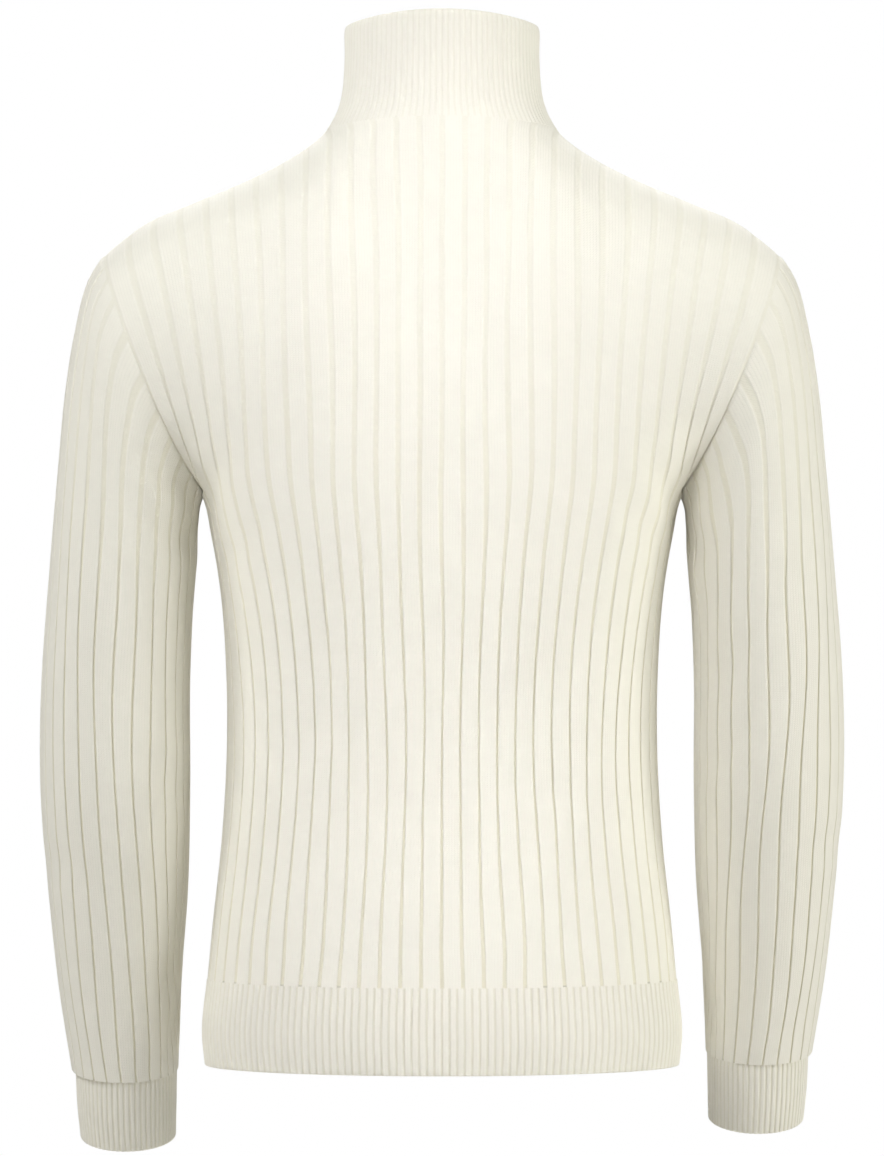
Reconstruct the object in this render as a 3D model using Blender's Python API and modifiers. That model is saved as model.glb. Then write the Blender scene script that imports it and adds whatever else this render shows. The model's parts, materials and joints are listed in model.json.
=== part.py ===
"""Half-zip sweater in rib knit, in the hollow form it has when worn.

Metres, +Z up. The wearer faces -Y and the wearer's left arm is at +X. The origin is the middle of
the neck opening's base. Each cloth piece is a wall: a plain inside surface, and an outside whose
points stand out from it by the cloth's thickness, more on a rib and less in a trough.
Tables are in millimetres.
"""
import math

import bmesh
import bpy
import numpy as np

MM = 0.001
SEAM_GAP = 0.3 * MM
NECK_GAP = 0.5 * MM    # measured upright, on a seam that slopes

# Wide ribs of the body and the sleeves
RIBS_A_PANEL = 30
SIDE_RIB = 15          # rib number of the side seam, counted from the centre
ARM_RIB = 14           # rib that runs up along the armhole
NECK_RIB = 5           # rib that meets the side of the neck
SLEEVE_RIBS = 28
TROUGH_EDGE = 0.18     # a trough's half width, as a share of one rib
SAMPLES = 361          # points on a curve before it is divided into ribs
CLOTH = 1.6 * MM       # wall in a trough
RIB_HEIGHT = 1.2 * MM  # how far a wide rib stands above its troughs

# Fine ribs of the welt, the cuffs and the collar
HEM_RIBS = 84          # a panel
CUFF_RIBS = 60
COLLAR_RIBS = 102
WELT_CLOTH = 1.8 * MM
COLLAR_CLOTH = 2.2 * MM
FINE_HEIGHT = 0.8 * MM
FINE_BLOCK = 6         # points in a block of three fine ribs, plain on the inside
NECK_LEAN = 0.30       # upward lean of the cloth's thickness at the neck seam
NECK_SIDE_LEAN = 0.25  # and what the sides of the neck add to it

# Half zip
SLIT_HALF = 5.2 * MM
TAPE_REACH = 8.5 * MM   # how far a tape runs in behind the cloth
TAPE_THICK = 1.0 * MM
TAPE_BEHIND = 0.5 * MM  # from the cloth's inside to a tape's face
TAPE_APART = 0.6 * MM   # from the zip's middle to a tape's edge
CHAIN_HALF = 2.6 * MM
CHAIN_THICK = 1.6 * MM
CHAIN_FOOT = SEAM_GAP - TAPE_BEHIND  # above the cloth's inside
CHAIN_SHORT = 2.0 * MM  # how far the chain ends before the tapes do
SLIDER_WIDTH = 9.0 * MM
SLIDER_LENGTH = 12.5 * MM
SLIDER_THICK = 2.4 * MM
SLIDER_BELOW_TOP = 13.0 * MM
SLIDER_EDGE = 0.8 * MM
BRIDGE_EDGE = 0.5 * MM
BRIDGE_SUNK = 0.6 * MM
PULL_EDGE = 0.4 * MM
BRIDGE_WIDTH = 3.0 * MM
BRIDGE_WALL = 1.0 * MM
TUNNEL_HEIGHT = 3.0 * MM
TUNNEL_BELOW = 1.6 * MM  # from the pull's axis to the tunnel's lower end
TUNNEL_ABOVE = 4.6 * MM
PULL_WIDTH = 8.0 * MM
PULL_LENGTH = 27.0 * MM
PULL_THICK = 1.6 * MM
PULL_HOLE_WIDTH = 4.4 * MM
PULL_HOLE_LENGTH = 8.8 * MM

# Body below the armholes: outside half width and depth at each height, and how square the
# section is, from 0 for an ellipse
BODY_COLUMNS = ("height", "half_width", "back", "front", "square")
BODY = (
    (-597, 164.6, 110, 106, 0.0),
    (-560, 161.0, 106, 104, 0.0),
    (-500, 154.4, 98, 99, 0.0),
    (-440, 150.8, 93, 97, 0.0),
    (-380, 151.2, 95, 100, 0.1),
    (-320, 156.0, 102, 104, 0.3),
    (-285, 162.0, 105, 105, 0.45),
    (-263, 166.6, 107, 106, 0.55),
    (-253, 170.6, 107, 106, 0.6),
)
BODY_LEVELS = (-597, -520, -435, -350, -290, -263, -253)
YOKE_LEVELS = (0.14, 0.32, 0.50, 0.68, 0.85, 1.0)  # share of the way, armpit to shoulder
SLIT_LEVEL = 0         # the yoke level where the slit starts
NECK_EASE = 2.4        # ribs over which the corner of the neck is rounded lower down the yoke
NECK_EASE_FROM = 0.35  # share of the yoke, from the top, over which that grows

# Yoke: one curve for each rib. Its first handle says how the rib leaves the armpit level (lean
# outward, swell and rise), its second how it comes over the shoulder (tip outward, and the
# handle's own depth, crest, and height, brow)
YOKE_COLUMNS = ("rib", "lean", "swell", "rise", "tip", "crest", "brow")
YOKE_BACK = (
    (0, 0, 6, 90, 0, 84, -40),
    (3, 0, 7, 86, 0, 91, -32),
    (5, 0, 9, 84, 0, 100, -18),
    (8, 2, 14, 76, 0, 98, -46),
    (11, 8, 28, 62, 3, 95, -68),
    (14, 22, 68, 26, 8, 96, -96),
)
YOKE_FRONT = (
    (0, 0, 7, 62, 0, 84, -100),
    (3, 0, 8, 66, 0, 90, -78),
    (5, 0, 10, 72, 0, 96, -44),
    (8, 2, 14, 72, 0, 96, -58),
    (11, 8, 28, 62, 3, 92, -72),
    (14, 22, 66, 26, 8, 93, -96),
)
# Shoulder seam, inside of the cloth
SHOULDER_COLUMNS = ("across", "height")
SHOULDER = (
    (77, -5),
    (100, -21.5),
    (131, -38),
    (172, -55.5),
    (209, -72),
    (234, -92),
)
# Neck and collar rings, inside of the cloth, from the neck seam to the collar's top edge
FRONT_DIP = 2.2         # how the neckline falls toward the front, 2 for an even fall
NECK_COLUMNS = ("half_width", "back", "front", "z_back", "z_side", "z_front")
NECK = (
    (77.0, 64, 62, 2, -5, -50),
    (69.0, 59, 60, 22, 15, -29),
    (65.6, 56, 59.5, 52, 45, 2),
    (66.0, 57, 61, 77.5, 70, 34),
)
# Sleeve sections, outside: the point on the outer line and on the underarm line, the half depth,
# how far the middle lies back, how much the section's back edge drops, and the share of the cloth's
# width that the ribs next to the underarm seam keep
SLEEVE_COLUMNS = ("x_out", "z_out", "x_in", "z_in", "half_depth", "back", "drop", "keep")
SLEEVE = (
    (237.0, -92, 168.5, -253, 71.0, 0, 0, 1.00),
    (246.0, -106, 171.5, -262, 71.5, 0, 0, 1.00),
    (257.0, -146, 172.3, -277, 70.5, 0, 0, 1.00),
    (263.5, -186, 172.3, -292, 69.0, 0, 0, 1.00),
    (268.5, -238, 172.5, -310, 67.0, 0, 0, 0.97),
    (274.5, -308, 174.5, -342, 64.5, 0, 0, 0.92),
    (280.5, -390, 176.4, -395, 62.0, -2, 0, 0.87),
    (281.5, -460, 176.4, -460, 60.0, -6, 2, 0.82),
    (276.5, -535, 178.4, -535, 55.0, -17, 5, 0.70),
    (270.0, -603, 183.8, -603, 48.5, -30, 8, 0.52),
    (261.5, -662, 186.2, -662, 42.5, -42, 8, 0.42),
)
FADE = (1.0, 0.8, 0.55, 0.3, 0.12)  # how much of the armhole's own line each section keeps
CUFF = (
    (259.0, -662, 187.0, -662, 41.5, -42, 8, 1.0),
    (256.0, -711, 188.2, -711, 39.0, -53, 8, 1.0),
)
RIGHT_SLEEVE_SHORTER = 12.5
SHORTER_FROM = 300     # depth below the origin where the right sleeve starts to be shorter
SHORTER_WHOLE = 660    # and where it is shorter by the whole amount
UNDERARM_REACH = 0.16  # share of the sleeve's round on each side of the seam that narrows
HEM = (
    (-597, 164.6, 110, 106),
    (-636, 168.0, 111, 107),
    (-657, 166.0, 109, 105),
)


def column(table, names, name):
    """One named column of a table, in metres."""
    place = names.index(name)
    return np.array([row[place] for row in table], float) * MM


def smooth(xs, ys, x):
    """A smooth curve through the points (xs, ys), read at x."""
    xs = np.asarray(xs, float)
    ys = np.asarray(ys, float)
    slopes = np.gradient(ys, xs)
    x = np.clip(x, xs[0], xs[-1])
    k = np.clip(np.searchsorted(xs, x, side="right") - 1, 0, len(xs) - 2)
    step = xs[k + 1] - xs[k]
    s = (x - xs[k]) / step
    rise = 3 * s**2 - 2 * s**3
    lead = (s - 2 * s**2 + s**3) * step
    tail = (s**3 - s**2) * step
    return ys[k] * (1 - rise) + ys[k + 1] * rise + slopes[k] * lead + slopes[k + 1] * tail


def unit(vectors):
    return vectors / np.linalg.norm(vectors, axis=-1, keepdims=True)


def line_directions(line):
    """The direction along a line at each of its points, halfway between its two pieces there."""
    pieces = unit(np.diff(line, axis=0))
    return unit(np.vstack([pieces[:1], pieces[:-1] + pieces[1:], pieces[-1:]]))


def along(points, shares, weights=None):
    """Points at the given shares of a polyline's length, or of its weighted length."""
    steps = np.linalg.norm(np.diff(points, axis=0), axis=1)
    if weights is not None:
        steps = weights
    places = np.concatenate([[0], np.cumsum(steps)])
    places = places / places[-1]
    return np.stack([np.interp(shares, places, points[:, axis]) for axis in range(3)], axis=1)


# ---------------------------------------------------------------- body surface

def body_section(back, height, ribs):
    """The inside of the body at one height, read at rib numbers from the centre to the sides."""
    heights = column(BODY, BODY_COLUMNS, "height")
    wall = CLOTH + RIB_HEIGHT
    across = smooth(heights, column(BODY, BODY_COLUMNS, "half_width"), height) - wall
    depth = smooth(heights, column(BODY, BODY_COLUMNS, "back" if back else "front"), height) - wall
    power = 2 / (2 + smooth(heights, column(BODY, BODY_COLUMNS, "square") / MM, height))
    turn = np.linspace(0, math.pi / 2, SAMPLES // 2 + 1)
    quarter = np.stack([across * np.sin(turn) ** power, depth * np.cos(turn).clip(0) ** power,
                        np.zeros_like(turn)], axis=1)
    points = along(quarter, np.abs(ribs) / SIDE_RIB)
    points[:, 0] *= np.sign(ribs)
    points[:, 1] *= 1 if back else -1
    points[:, 2] = height
    return points


def ring_point(ring, across, back):
    """A point of a neck or collar ring at a distance across from the middle, in metres."""
    size = {name: value * MM for name, value in zip(NECK_COLUMNS, ring)}
    reach = np.sqrt(np.clip(1 - (across / size["half_width"]) ** 2, 0, 1))
    if back:
        height = size["z_side"] + (size["z_back"] - size["z_side"]) * reach**2
        return np.stack([across, size["back"] * reach, height], axis=1)
    height = size["z_side"] + (size["z_front"] - size["z_side"]) * reach**FRONT_DIP
    return np.stack([across, -size["front"] * reach, height], axis=1)


def shoulder_line(back, ribs):
    """Where each rib ends on top: on the neckline up to the neck rib, then on the shoulder seam."""
    across = column(SHOULDER, SHOULDER_COLUMNS, "across")
    heights = column(SHOULDER, SHOULDER_COLUMNS, "height")
    number = np.abs(ribs)
    x = np.where(number <= NECK_RIB, across[0] * number / NECK_RIB,
                 across[0] + (across[-1] - across[0]) * (number - NECK_RIB) / (ARM_RIB - NECK_RIB))
    points = ring_point(NECK[0], x, back)
    outside = number > NECK_RIB
    points[outside, 1] = 0
    points[outside, 2] = smooth(across, heights, x[outside])
    points[:, 0] *= np.sign(ribs)
    return points


def eased_line(back, ribs, share):
    """The line that the ribs end on, with the corner beside the neck rounded below the top."""
    reach = NECK_EASE * min((1 - share) / NECK_EASE_FROM, 1)
    reach = reach * np.clip((ARM_RIB - np.abs(ribs)) / NECK_RIB, 0, 1)
    offsets = np.linspace(-1, 1, 9)
    return sum(shoulder_line(back, ribs + offset * reach) for offset in offsets) / len(offsets)


def yoke_row(back, share, ribs):
    """The inside of the body above the armpits, at a share of the way up each rib."""
    table = YOKE_BACK if back else YOKE_FRONT
    numbers = [row[0] for row in table]
    start = body_section(back, BODY_LEVELS[-1] * MM, ribs)
    end = eased_line(back, ribs, share)
    side = np.sign(ribs)
    outward = 1 if back else -1
    handle = {}
    for name in YOKE_COLUMNS[1:]:
        handle[name] = smooth(numbers, column(table, YOKE_COLUMNS, name), np.abs(ribs))
    leave = start + np.stack([side * handle["lean"], outward * handle["swell"], handle["rise"]], axis=1)
    arrive = np.stack([end[:, 0] + side * handle["tip"], outward * handle["crest"],
                       handle["brow"]], axis=1)
    rest = 1 - share
    return (start * rest**3 + leave * 3 * rest**2 * share
            + arrive * 3 * rest * share**2 + end * share**3)


# ---------------------------------------------------------------- walls

def rib_height(phase, edge):
    """0 in a trough and 1 on a rib, for a rib number; the trough has sloping sides."""
    distance = np.abs(phase - np.round(phase))
    return np.clip(distance / edge, 0, 1)


def directions(points, closed=False):
    """Unit directions across the surface of a grid of points [row, column]."""
    rows = np.gradient(points, axis=0)
    if closed:
        columns = np.roll(points, -1, axis=1) - np.roll(points, 1, axis=1)
    else:
        columns = np.gradient(points, axis=1)
    return unit(np.cross(columns, rows))


def wall_object(name, inside, outside, plain, keep, closed=False):
    """A closed wall. `plain` lists the columns that the inside uses, and `keep` says for each
    row and each block between two of those columns whether there is cloth."""
    rows, count = outside.shape[:2]
    blocks = len(plain) if closed else len(plain) - 1
    points = []
    known = {}
    faces = []

    def corner(outer, row, place):
        key = (outer, row, place % count)
        if key not in known:
            known[key] = len(points)
            source = outside if outer else inside
            points.append(tuple(source[row, place % count]))
        return known[key]

    def cloth(row, block):
        if not 0 <= row < rows - 1:
            return False
        if closed:
            block = block % blocks
        elif not 0 <= block < blocks:
            return False
        return keep(row, block)

    for row in range(rows - 1):
        for block in range(blocks):
            if not cloth(row, block):
                continue
            first = plain[block]
            last = plain[(block + 1) % len(plain)]
            if last <= first:
                last += count
            for place in range(first, last):
                faces.append([corner(True, row, place), corner(True, row, place + 1),
                              corner(True, row + 1, place + 1), corner(True, row + 1, place)])
            faces.append([corner(False, row + 1, first), corner(False, row + 1, last),
                          corner(False, row, last), corner(False, row, first)])
            if not cloth(row - 1, block):
                edge = [corner(True, row, place) for place in range(last, first - 1, -1)]
                faces.append(edge + [corner(False, row, first), corner(False, row, last)])
            if not cloth(row + 1, block):
                edge = [corner(True, row + 1, place) for place in range(first, last + 1)]
                faces.append(edge + [corner(False, row + 1, last), corner(False, row + 1, first)])
            if not cloth(row, block - 1):
                faces.append([corner(True, row, first), corner(True, row + 1, first),
                              corner(False, row + 1, first), corner(False, row, first)])
            if not cloth(row, block + 1):
                faces.append([corner(True, row + 1, last), corner(True, row, last),
                              corner(False, row, last), corner(False, row + 1, last)])
    return mesh_object(name, points, faces)


def everywhere(row, block):
    return True


def split(points, quad):
    """A four-cornered face as two triangles, cut along its shorter diagonal."""
    a, b, c, d = (np.array(points[corner]) for corner in quad)
    if np.linalg.norm(a - c) < np.linalg.norm(b - d) - 1e-7:
        return [[quad[0], quad[1], quad[2]], [quad[0], quad[2], quad[3]]]
    return [[quad[1], quad[2], quad[3]], [quad[1], quad[3], quad[0]]]


def mesh_object(name, points, faces):
    pieces = []
    for face in faces:
        pieces += split(points, face) if len(face) == 4 else [face]
    mesh = bpy.data.meshes.new(name)
    mesh.from_pydata(points, [], pieces)
    shape = bmesh.new()
    shape.from_mesh(mesh)
    bmesh.ops.recalc_face_normals(shape, faces=shape.faces)
    shape.to_mesh(mesh)
    shape.free()
    thing = bpy.data.objects.new(name, mesh)
    garment.objects.link(thing)
    return thing


def wide_knots(low, high, extra=()):
    """Rib numbers where a wide-rib wall has points: each trough and both its edges."""
    knots = set(extra)
    for rib in range(low, high + 1):
        knots.add(float(rib))
        if rib < high:
            knots.add(rib + TROUGH_EDGE)
            knots.add(rib + 1 - TROUGH_EDGE)
    return np.array(sorted(knots))


# ---------------------------------------------------------------- body panels

def armhole_plane():
    """The direction out of the armhole, along the arm, for the arm at +X."""
    cap = dict(zip(SLEEVE_COLUMNS, SLEEVE[0]))
    low = np.array([cap["x_in"], 0, cap["z_in"]])
    high = np.array([cap["x_out"], 0, cap["z_out"]])
    up = unit(high - low)
    return np.array([up[2], 0, -up[0]])


def loop_mitres(loop, out):
    """For a closed seam line, the directions square to the line that point away from its middle."""
    ahead = np.roll(loop, -1, axis=0) - np.roll(loop, 1, axis=0)
    side = unit(np.cross(ahead, out))
    middle = loop.mean(axis=0)
    flip = np.sign(np.sum(side * (loop - middle), axis=1, keepdims=True))
    return side * flip


def armhole_loop(knots_up, knots_in):
    """The armhole seam at +X: from the underarm up the back, over the shoulder, down the front."""
    halves = []
    for back in (True, False):
        under = body_section(back, BODY_LEVELS[-1] * MM, np.array(knots_in))
        rise = [yoke_row(back, share, np.array([float(ARM_RIB)]))[0] for share in knots_up]
        halves.append(np.vstack([under, rise]))
    return np.vstack([halves[0], halves[1][::-1][1:-1]])


def neck_line(back, ribs):
    """The neck seam at the given rib numbers, in straight steps between the panel's corners."""
    corners = np.array([0, 1, 2, 3, NECK_RIB - 1, NECK_RIB - 1 + TROUGH_EDGE,
                        NECK_RIB - TROUGH_EDGE, NECK_RIB])
    points = shoulder_line(back, corners)
    number = np.abs(ribs)
    line = np.stack([np.interp(number, corners, points[:, axis]) for axis in range(3)], axis=1)
    line[:, 0] *= np.sign(ribs)
    return line


def panel_grid(back):
    """Inside points and outward directions of a body panel, by row and rib number."""
    slit = SLIT_HALF / (column(SHOULDER, SHOULDER_COLUMNS, "across")[0] / NECK_RIB)
    ribs = wide_knots(-SIDE_RIB, SIDE_RIB, () if back else (-slit, slit))
    lower = np.array([body_section(back, level * MM, ribs) for level in BODY_LEVELS])
    upper = np.array([yoke_row(back, share, ribs) for share in (0.0,) + YOKE_LEVELS])
    neck = np.abs(ribs) <= NECK_RIB
    upper[-1, neck] = neck_line(back, ribs[neck])
    outward = 1 if back else -1
    lower_way = directions(lower) * -outward
    upper_way = directions(upper) * -outward
    joint = unit(lower_way[-1] + upper_way[0])
    inside = np.concatenate([lower, upper[1:]])
    way = np.concatenate([lower_way[:-1], [joint], upper_way[1:]])
    return ribs, inside, way, slit


def body_panel(back):
    ribs, inside, way, slit = panel_grid(back)
    last_lower = len(BODY_LEVELS) - 1
    top = len(inside) - 1
    side = np.sign(ribs)
    outward = 1 if back else -1
    half_gap = SEAM_GAP / 2
    arm_out = armhole_plane()

    # The armhole's edge turns its thickness away from the opening, so body and sleeve meet face
    # to face along the whole seam
    up = (0.0,) + YOKE_LEVELS
    under = ribs[(ribs > ARM_RIB) & (ribs <= SIDE_RIB)][::-1]
    loop = armhole_loop(up, under)
    mitres = loop_mitres(loop, arm_out)
    if not back:
        mitres = np.concatenate([mitres[:1], mitres[1:][::-1]])
    for sign in (1, -1):
        mirror = np.array([sign, 1, 1])
        for number, rib in enumerate(under):
            place = int(np.argmin(np.abs(ribs - sign * rib)))
            way[last_lower, place] = mitres[number] * mirror
            inside[last_lower, place] -= arm_out * mirror * half_gap
        place = int(np.argmin(np.abs(ribs - sign * ARM_RIB)))
        for step in range(len(up)):
            way[last_lower + step, place] = mitres[len(under) + step] * mirror
            inside[last_lower + step, place] -= arm_out * mirror * half_gap

    # Side seams, shoulder seams, hem seam and neck seam
    for place in (0, len(ribs) - 1):
        inside[:last_lower + 1, place, 1] += outward * half_gap
        way[:last_lower, place] = (side[place], 0, 0)
    neck = np.abs(ribs) <= NECK_RIB
    shoulder = (np.abs(ribs) >= NECK_RIB) & (np.abs(ribs) <= ARM_RIB)
    inside[top, shoulder, 1] += outward * half_gap
    along_top = np.gradient(inside[top], axis=0)
    ridge = unit(np.stack([-along_top[:, 2], 0 * ribs, along_top[:, 0]], axis=1))
    flat = (np.abs(ribs) > NECK_RIB) & (np.abs(ribs) < ARM_RIB)
    way[top, flat] = ridge[flat]
    way[top, neck] = neck_mitre(inside[top, neck])
    inside[top, neck, 2] -= NECK_GAP / 2
    inside[0, :, 2] += half_gap
    way[0, :, 2] = 0
    way[0] = unit(way[0])

    thick = CLOTH + RIB_HEIGHT * rib_height(ribs, TROUGH_EDGE)
    outside = inside + way * thick[None, :, None]

    # The last rib beside the armhole stays on the body's side of the seam
    for place in np.flatnonzero((np.abs(ribs) > ARM_RIB - 1) & (np.abs(ribs) < ARM_RIB)):
        away = arm_out * np.array([side[place], 1, 1])
        edge = inside[last_lower:, np.argmin(np.abs(ribs - side[place] * ARM_RIB))]
        past = (outside[last_lower:, place] - edge) @ away + half_gap
        outside[last_lower:, place] -= np.clip(past, 0, None)[:, None] * away

    corners = [float(rib) for rib in range(-SIDE_RIB, SIDE_RIB + 1)]
    for sign in (1, -1):
        corners += [sign * (NECK_RIB - TROUGH_EDGE), sign * (NECK_RIB - 1 + TROUGH_EDGE)]
    if not back:
        corners.remove(0.0)
        corners += [-slit, slit]
    plain = sorted(int(np.argmin(np.abs(ribs - rib))) for rib in corners)
    slit_row = last_lower + 1 + SLIT_LEVEL

    def keep(row, block):
        middle = (ribs[plain[block]] + ribs[plain[block + 1]]) / 2
        if row >= last_lower and abs(middle) > ARM_RIB:
            return False
        return back or row < slit_row or abs(middle) > slit / 2

    return wall_object("back" if back else "front", inside, outside, plain, keep)


def neck_mitre(points):
    """The cloth's thickness at the neck seam: outward from the neck and a little up."""
    away = points * np.array([1, 1, 0])
    away = unit(away)
    away[:, 2] = NECK_LEAN + NECK_SIDE_LEAN * away[:, 0] ** 2
    return unit(away)


# ---------------------------------------------------------------- sleeves and cuffs

def sleeve_curve(section, shorter):
    """The inside of one sleeve section as a fine closed line, from the underarm round the back."""
    size = {name: value * MM for name, value in zip(SLEEVE_COLUMNS, section)}
    wall = CLOTH + RIB_HEIGHT
    depth_down = -size["z_in"] / MM
    share = np.clip((depth_down - SHORTER_FROM) / (SHORTER_WHOLE - SHORTER_FROM), 0, 1)
    stretch = 1 - shorter * share / depth_down
    out = np.array([size["x_out"] - wall, size["back"], size["z_out"] * stretch])
    inner = np.array([size["x_in"] + wall, size["back"], size["z_in"] * stretch])
    turn = np.linspace(math.pi, -math.pi, SAMPLES)
    depth = np.array([0, size["half_depth"] - wall, -size["drop"]])
    middle = (out + inner) / 2
    return (middle + np.cos(turn)[:, None] * (out - inner) / 2
            + np.sin(turn)[:, None] * depth)


def spread_round(curve, shares, keep):
    """Points round a closed line, evenly spaced as seen along the arm, but closer together
    next to the underarm seam, where `keep` is the share of their spacing they have left."""
    plan = np.linalg.norm(np.diff(curve[:, :2], axis=0), axis=1)
    place = (np.cumsum(plan) - plan / 2) / plan.sum()
    near = np.minimum(place, 1 - place) / UNDERARM_REACH
    width = keep + (1 - keep) * np.clip(near, 0, 1)
    return along(curve, shares, plan / width)


def sleeve_inside(side, knots, ribs, table, loop):
    """Inside points of a sleeve at +X, by section and rib."""
    shorter = 0 if side > 0 else RIGHT_SLEEVE_SHORTER
    shares = knots / ribs
    keep = SLEEVE_COLUMNS.index("keep")
    rings = [spread_round(sleeve_curve(row, shorter), shares, row[keep]) for row in table]
    rings = np.array(rings)
    if loop is not None:
        closed = np.vstack([loop, loop[:1]])
        own = spread_round(closed, shares, 1.0)
        change = own - rings[0]
        for number, share in enumerate(FADE):
            rings[number] += share * change
    return rings


def sleeve(side):
    name = "sleeve_left" if side > 0 else "sleeve_right"
    knots = wide_knots(0, SLEEVE_RIBS)[:-1]
    panel_ribs = wide_knots(-SIDE_RIB, SIDE_RIB)
    under = panel_ribs[panel_ribs > ARM_RIB][::-1]
    loop = armhole_loop((0.0,) + YOKE_LEVELS, under)
    inside = sleeve_inside(side, knots, SLEEVE_RIBS, SLEEVE, loop)
    way = directions(inside, closed=True)
    arm_out = armhole_plane()
    way[0] = loop_mitres(inside[0], arm_out)
    inside[0] += arm_out * SEAM_GAP / 2
    inside[-1, :, 2] += SEAM_GAP / 2
    way[-1, :, 2] = 0
    way[-1] = unit(way[-1])
    thick = CLOTH + RIB_HEIGHT * rib_height(knots, TROUGH_EDGE)
    outside = inside + way * thick[None, :, None]
    plain = [number for number, knot in enumerate(knots) if abs(knot - round(knot)) < 1e-6]
    mirror = np.array([side, 1, 1])
    return wall_object(name, inside * mirror, outside * mirror, plain, everywhere, True)


def fine_knots(ribs):
    """Rib numbers of a fine-rib wall: a point in each trough and on each crest."""
    return np.arange(2 * ribs + 1) / 2


def fine_thickness(knots, cloth):
    crest = np.abs(knots - np.round(knots)) > 0.25
    return cloth + FINE_HEIGHT * crest


def cuff(side):
    name = "cuff_left" if side > 0 else "cuff_right"
    knots = fine_knots(CUFF_RIBS)[:-1]
    inside = sleeve_inside(side, knots, CUFF_RIBS, CUFF, None)
    way = directions(inside, closed=True)
    inside[0, :, 2] -= SEAM_GAP / 2
    way[0, :, 2] = 0
    way[0] = unit(way[0])
    outside = inside + way * fine_thickness(knots, WELT_CLOTH)[None, :, None]
    plain = list(range(0, len(knots), FINE_BLOCK))
    mirror = np.array([side, 1, 1])
    return wall_object(name, inside * mirror, outside * mirror, plain, everywhere, True)


# ---------------------------------------------------------------- welt and collar

def hem_panel(back):
    """Half of the welt under the body, hung from the body's own lower edge."""
    knots = fine_knots(HEM_RIBS)
    ribs = (knots / HEM_RIBS - 0.5) * RIBS_A_PANEL
    outward = 1 if back else -1
    rows = []
    wall = WELT_CLOTH + FINE_HEIGHT
    for height, half_width, back_depth, front_depth in HEM:
        turn = np.linspace(-math.pi / 2, math.pi / 2, SAMPLES)
        depth = (back_depth if back else front_depth) * MM - wall
        line = np.stack([(half_width * MM - wall) * np.sin(turn), outward * depth * np.cos(turn),
                         np.full_like(turn, height * MM)], axis=1)
        rows.append(along(line, (ribs + SIDE_RIB) / RIBS_A_PANEL))
    inside = np.array(rows)
    way = directions(inside) * outward
    for place in (0, len(ribs) - 1):
        inside[:, place, 1] += outward * SEAM_GAP / 2
        way[:, place] = (np.sign(ribs[place]), 0, 0)
    inside[0, :, 2] -= SEAM_GAP / 2
    way[0, :, 2] = 0
    way[0] = unit(way[0])
    outside = inside + way * fine_thickness(knots, WELT_CLOTH)[None, :, None]
    plain = list(range(0, len(knots), FINE_BLOCK))
    name = "hem_back" if back else "hem_front"
    return wall_object(name, inside, outside, plain, everywhere)


def neck_seam_line():
    """The neck seam from the slit's edge at +X round the back to the slit's edge at -X."""
    ribs, _, _, slit = panel_grid(False)
    corner_ribs = [slit] + [rib for rib in ribs if slit < rib <= NECK_RIB]
    quarter_front = neck_line(False, np.array(corner_ribs))
    half_back = neck_line(True, wide_knots(-NECK_RIB, NECK_RIB))[::-1]
    mirrored = quarter_front[::-1] * np.array([-1, 1, 1])
    return np.vstack([quarter_front, half_back[1:-1], mirrored])


def collar_ring(ring):
    """A collar ring as a fine open line, from the slit at +X round the back to the slit at -X."""
    half_width = ring[0] * MM
    start = math.asin(SLIT_HALF / half_width)
    quarter = half_width * np.sin(np.linspace(start, math.pi / 2, SAMPLES // 2 + 1))
    front = ring_point(ring, quarter, False)
    half = half_width * np.sin(np.linspace(math.pi / 2, -math.pi / 2, SAMPLES))
    back = ring_point(ring, half, True)
    return np.vstack([front, back[1:-1], (front * np.array([-1, 1, 1]))[::-1]])


def collar_inside(knots):
    shares = knots / COLLAR_RIBS
    lines = [neck_seam_line()] + [collar_ring(ring) for ring in NECK[1:]]
    return np.array([along(line, shares) for line in lines])


def collar():
    knots = fine_knots(COLLAR_RIBS)
    inside = collar_inside(knots)
    way = directions(inside) * -1
    middle = inside.mean(axis=1, keepdims=True)
    facing = np.sign(np.sum(way * (inside - middle), axis=2).mean())
    way = way * facing
    way[0] = neck_mitre(inside[0])
    inside[0, :, 2] += NECK_GAP / 2
    for place in (0, len(knots) - 1):
        way[1:, place] = (0, -1, 0)
    outside = inside + way * fine_thickness(knots, COLLAR_CLOTH)[None, :, None]
    plain = list(range(0, len(knots), FINE_BLOCK))
    return wall_object("collar", inside, outside, plain, everywhere)


# ---------------------------------------------------------------- half zip

def slit_edge():
    """The line of the slit's edge at +X on the cloth's inside, from its foot to the collar's top,
    with the direction in behind the cloth and the direction out of it at each point."""
    slit = panel_grid(False)[-1]
    shares = np.array(YOKE_LEVELS[SLIT_LEVEL:])
    body = np.array([yoke_row(False, share, np.array([slit, 1.0])) for share in shares])
    knots = fine_knots(COLLAR_RIBS)
    neck = collar_inside(knots)[:, (0, FINE_BLOCK)]
    lines = np.concatenate([body[:-1], neck])
    edge = lines[:, 0]
    behind = unit(lines[:, 1] - lines[:, 0])
    out = unit(np.cross(behind, line_directions(edge)))
    if out[0, 1] > 0:
        out = -out
    return edge, behind, out


def strip(name, sections):
    """A closed strip lofted through four-cornered sections."""
    points = [tuple(point) for section in sections for point in section]
    faces = [[0, 1, 2, 3]]
    last = 4 * (len(sections) - 1)
    faces.append([last + corner for corner in (3, 2, 1, 0)])
    for number in range(len(sections) - 1):
        base = 4 * number
        for corner in range(4):
            ahead = (corner + 1) % 4
            faces.append([base + corner, base + 4 + corner, base + 4 + ahead, base + ahead])
    return mesh_object(name, points, faces)


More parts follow.
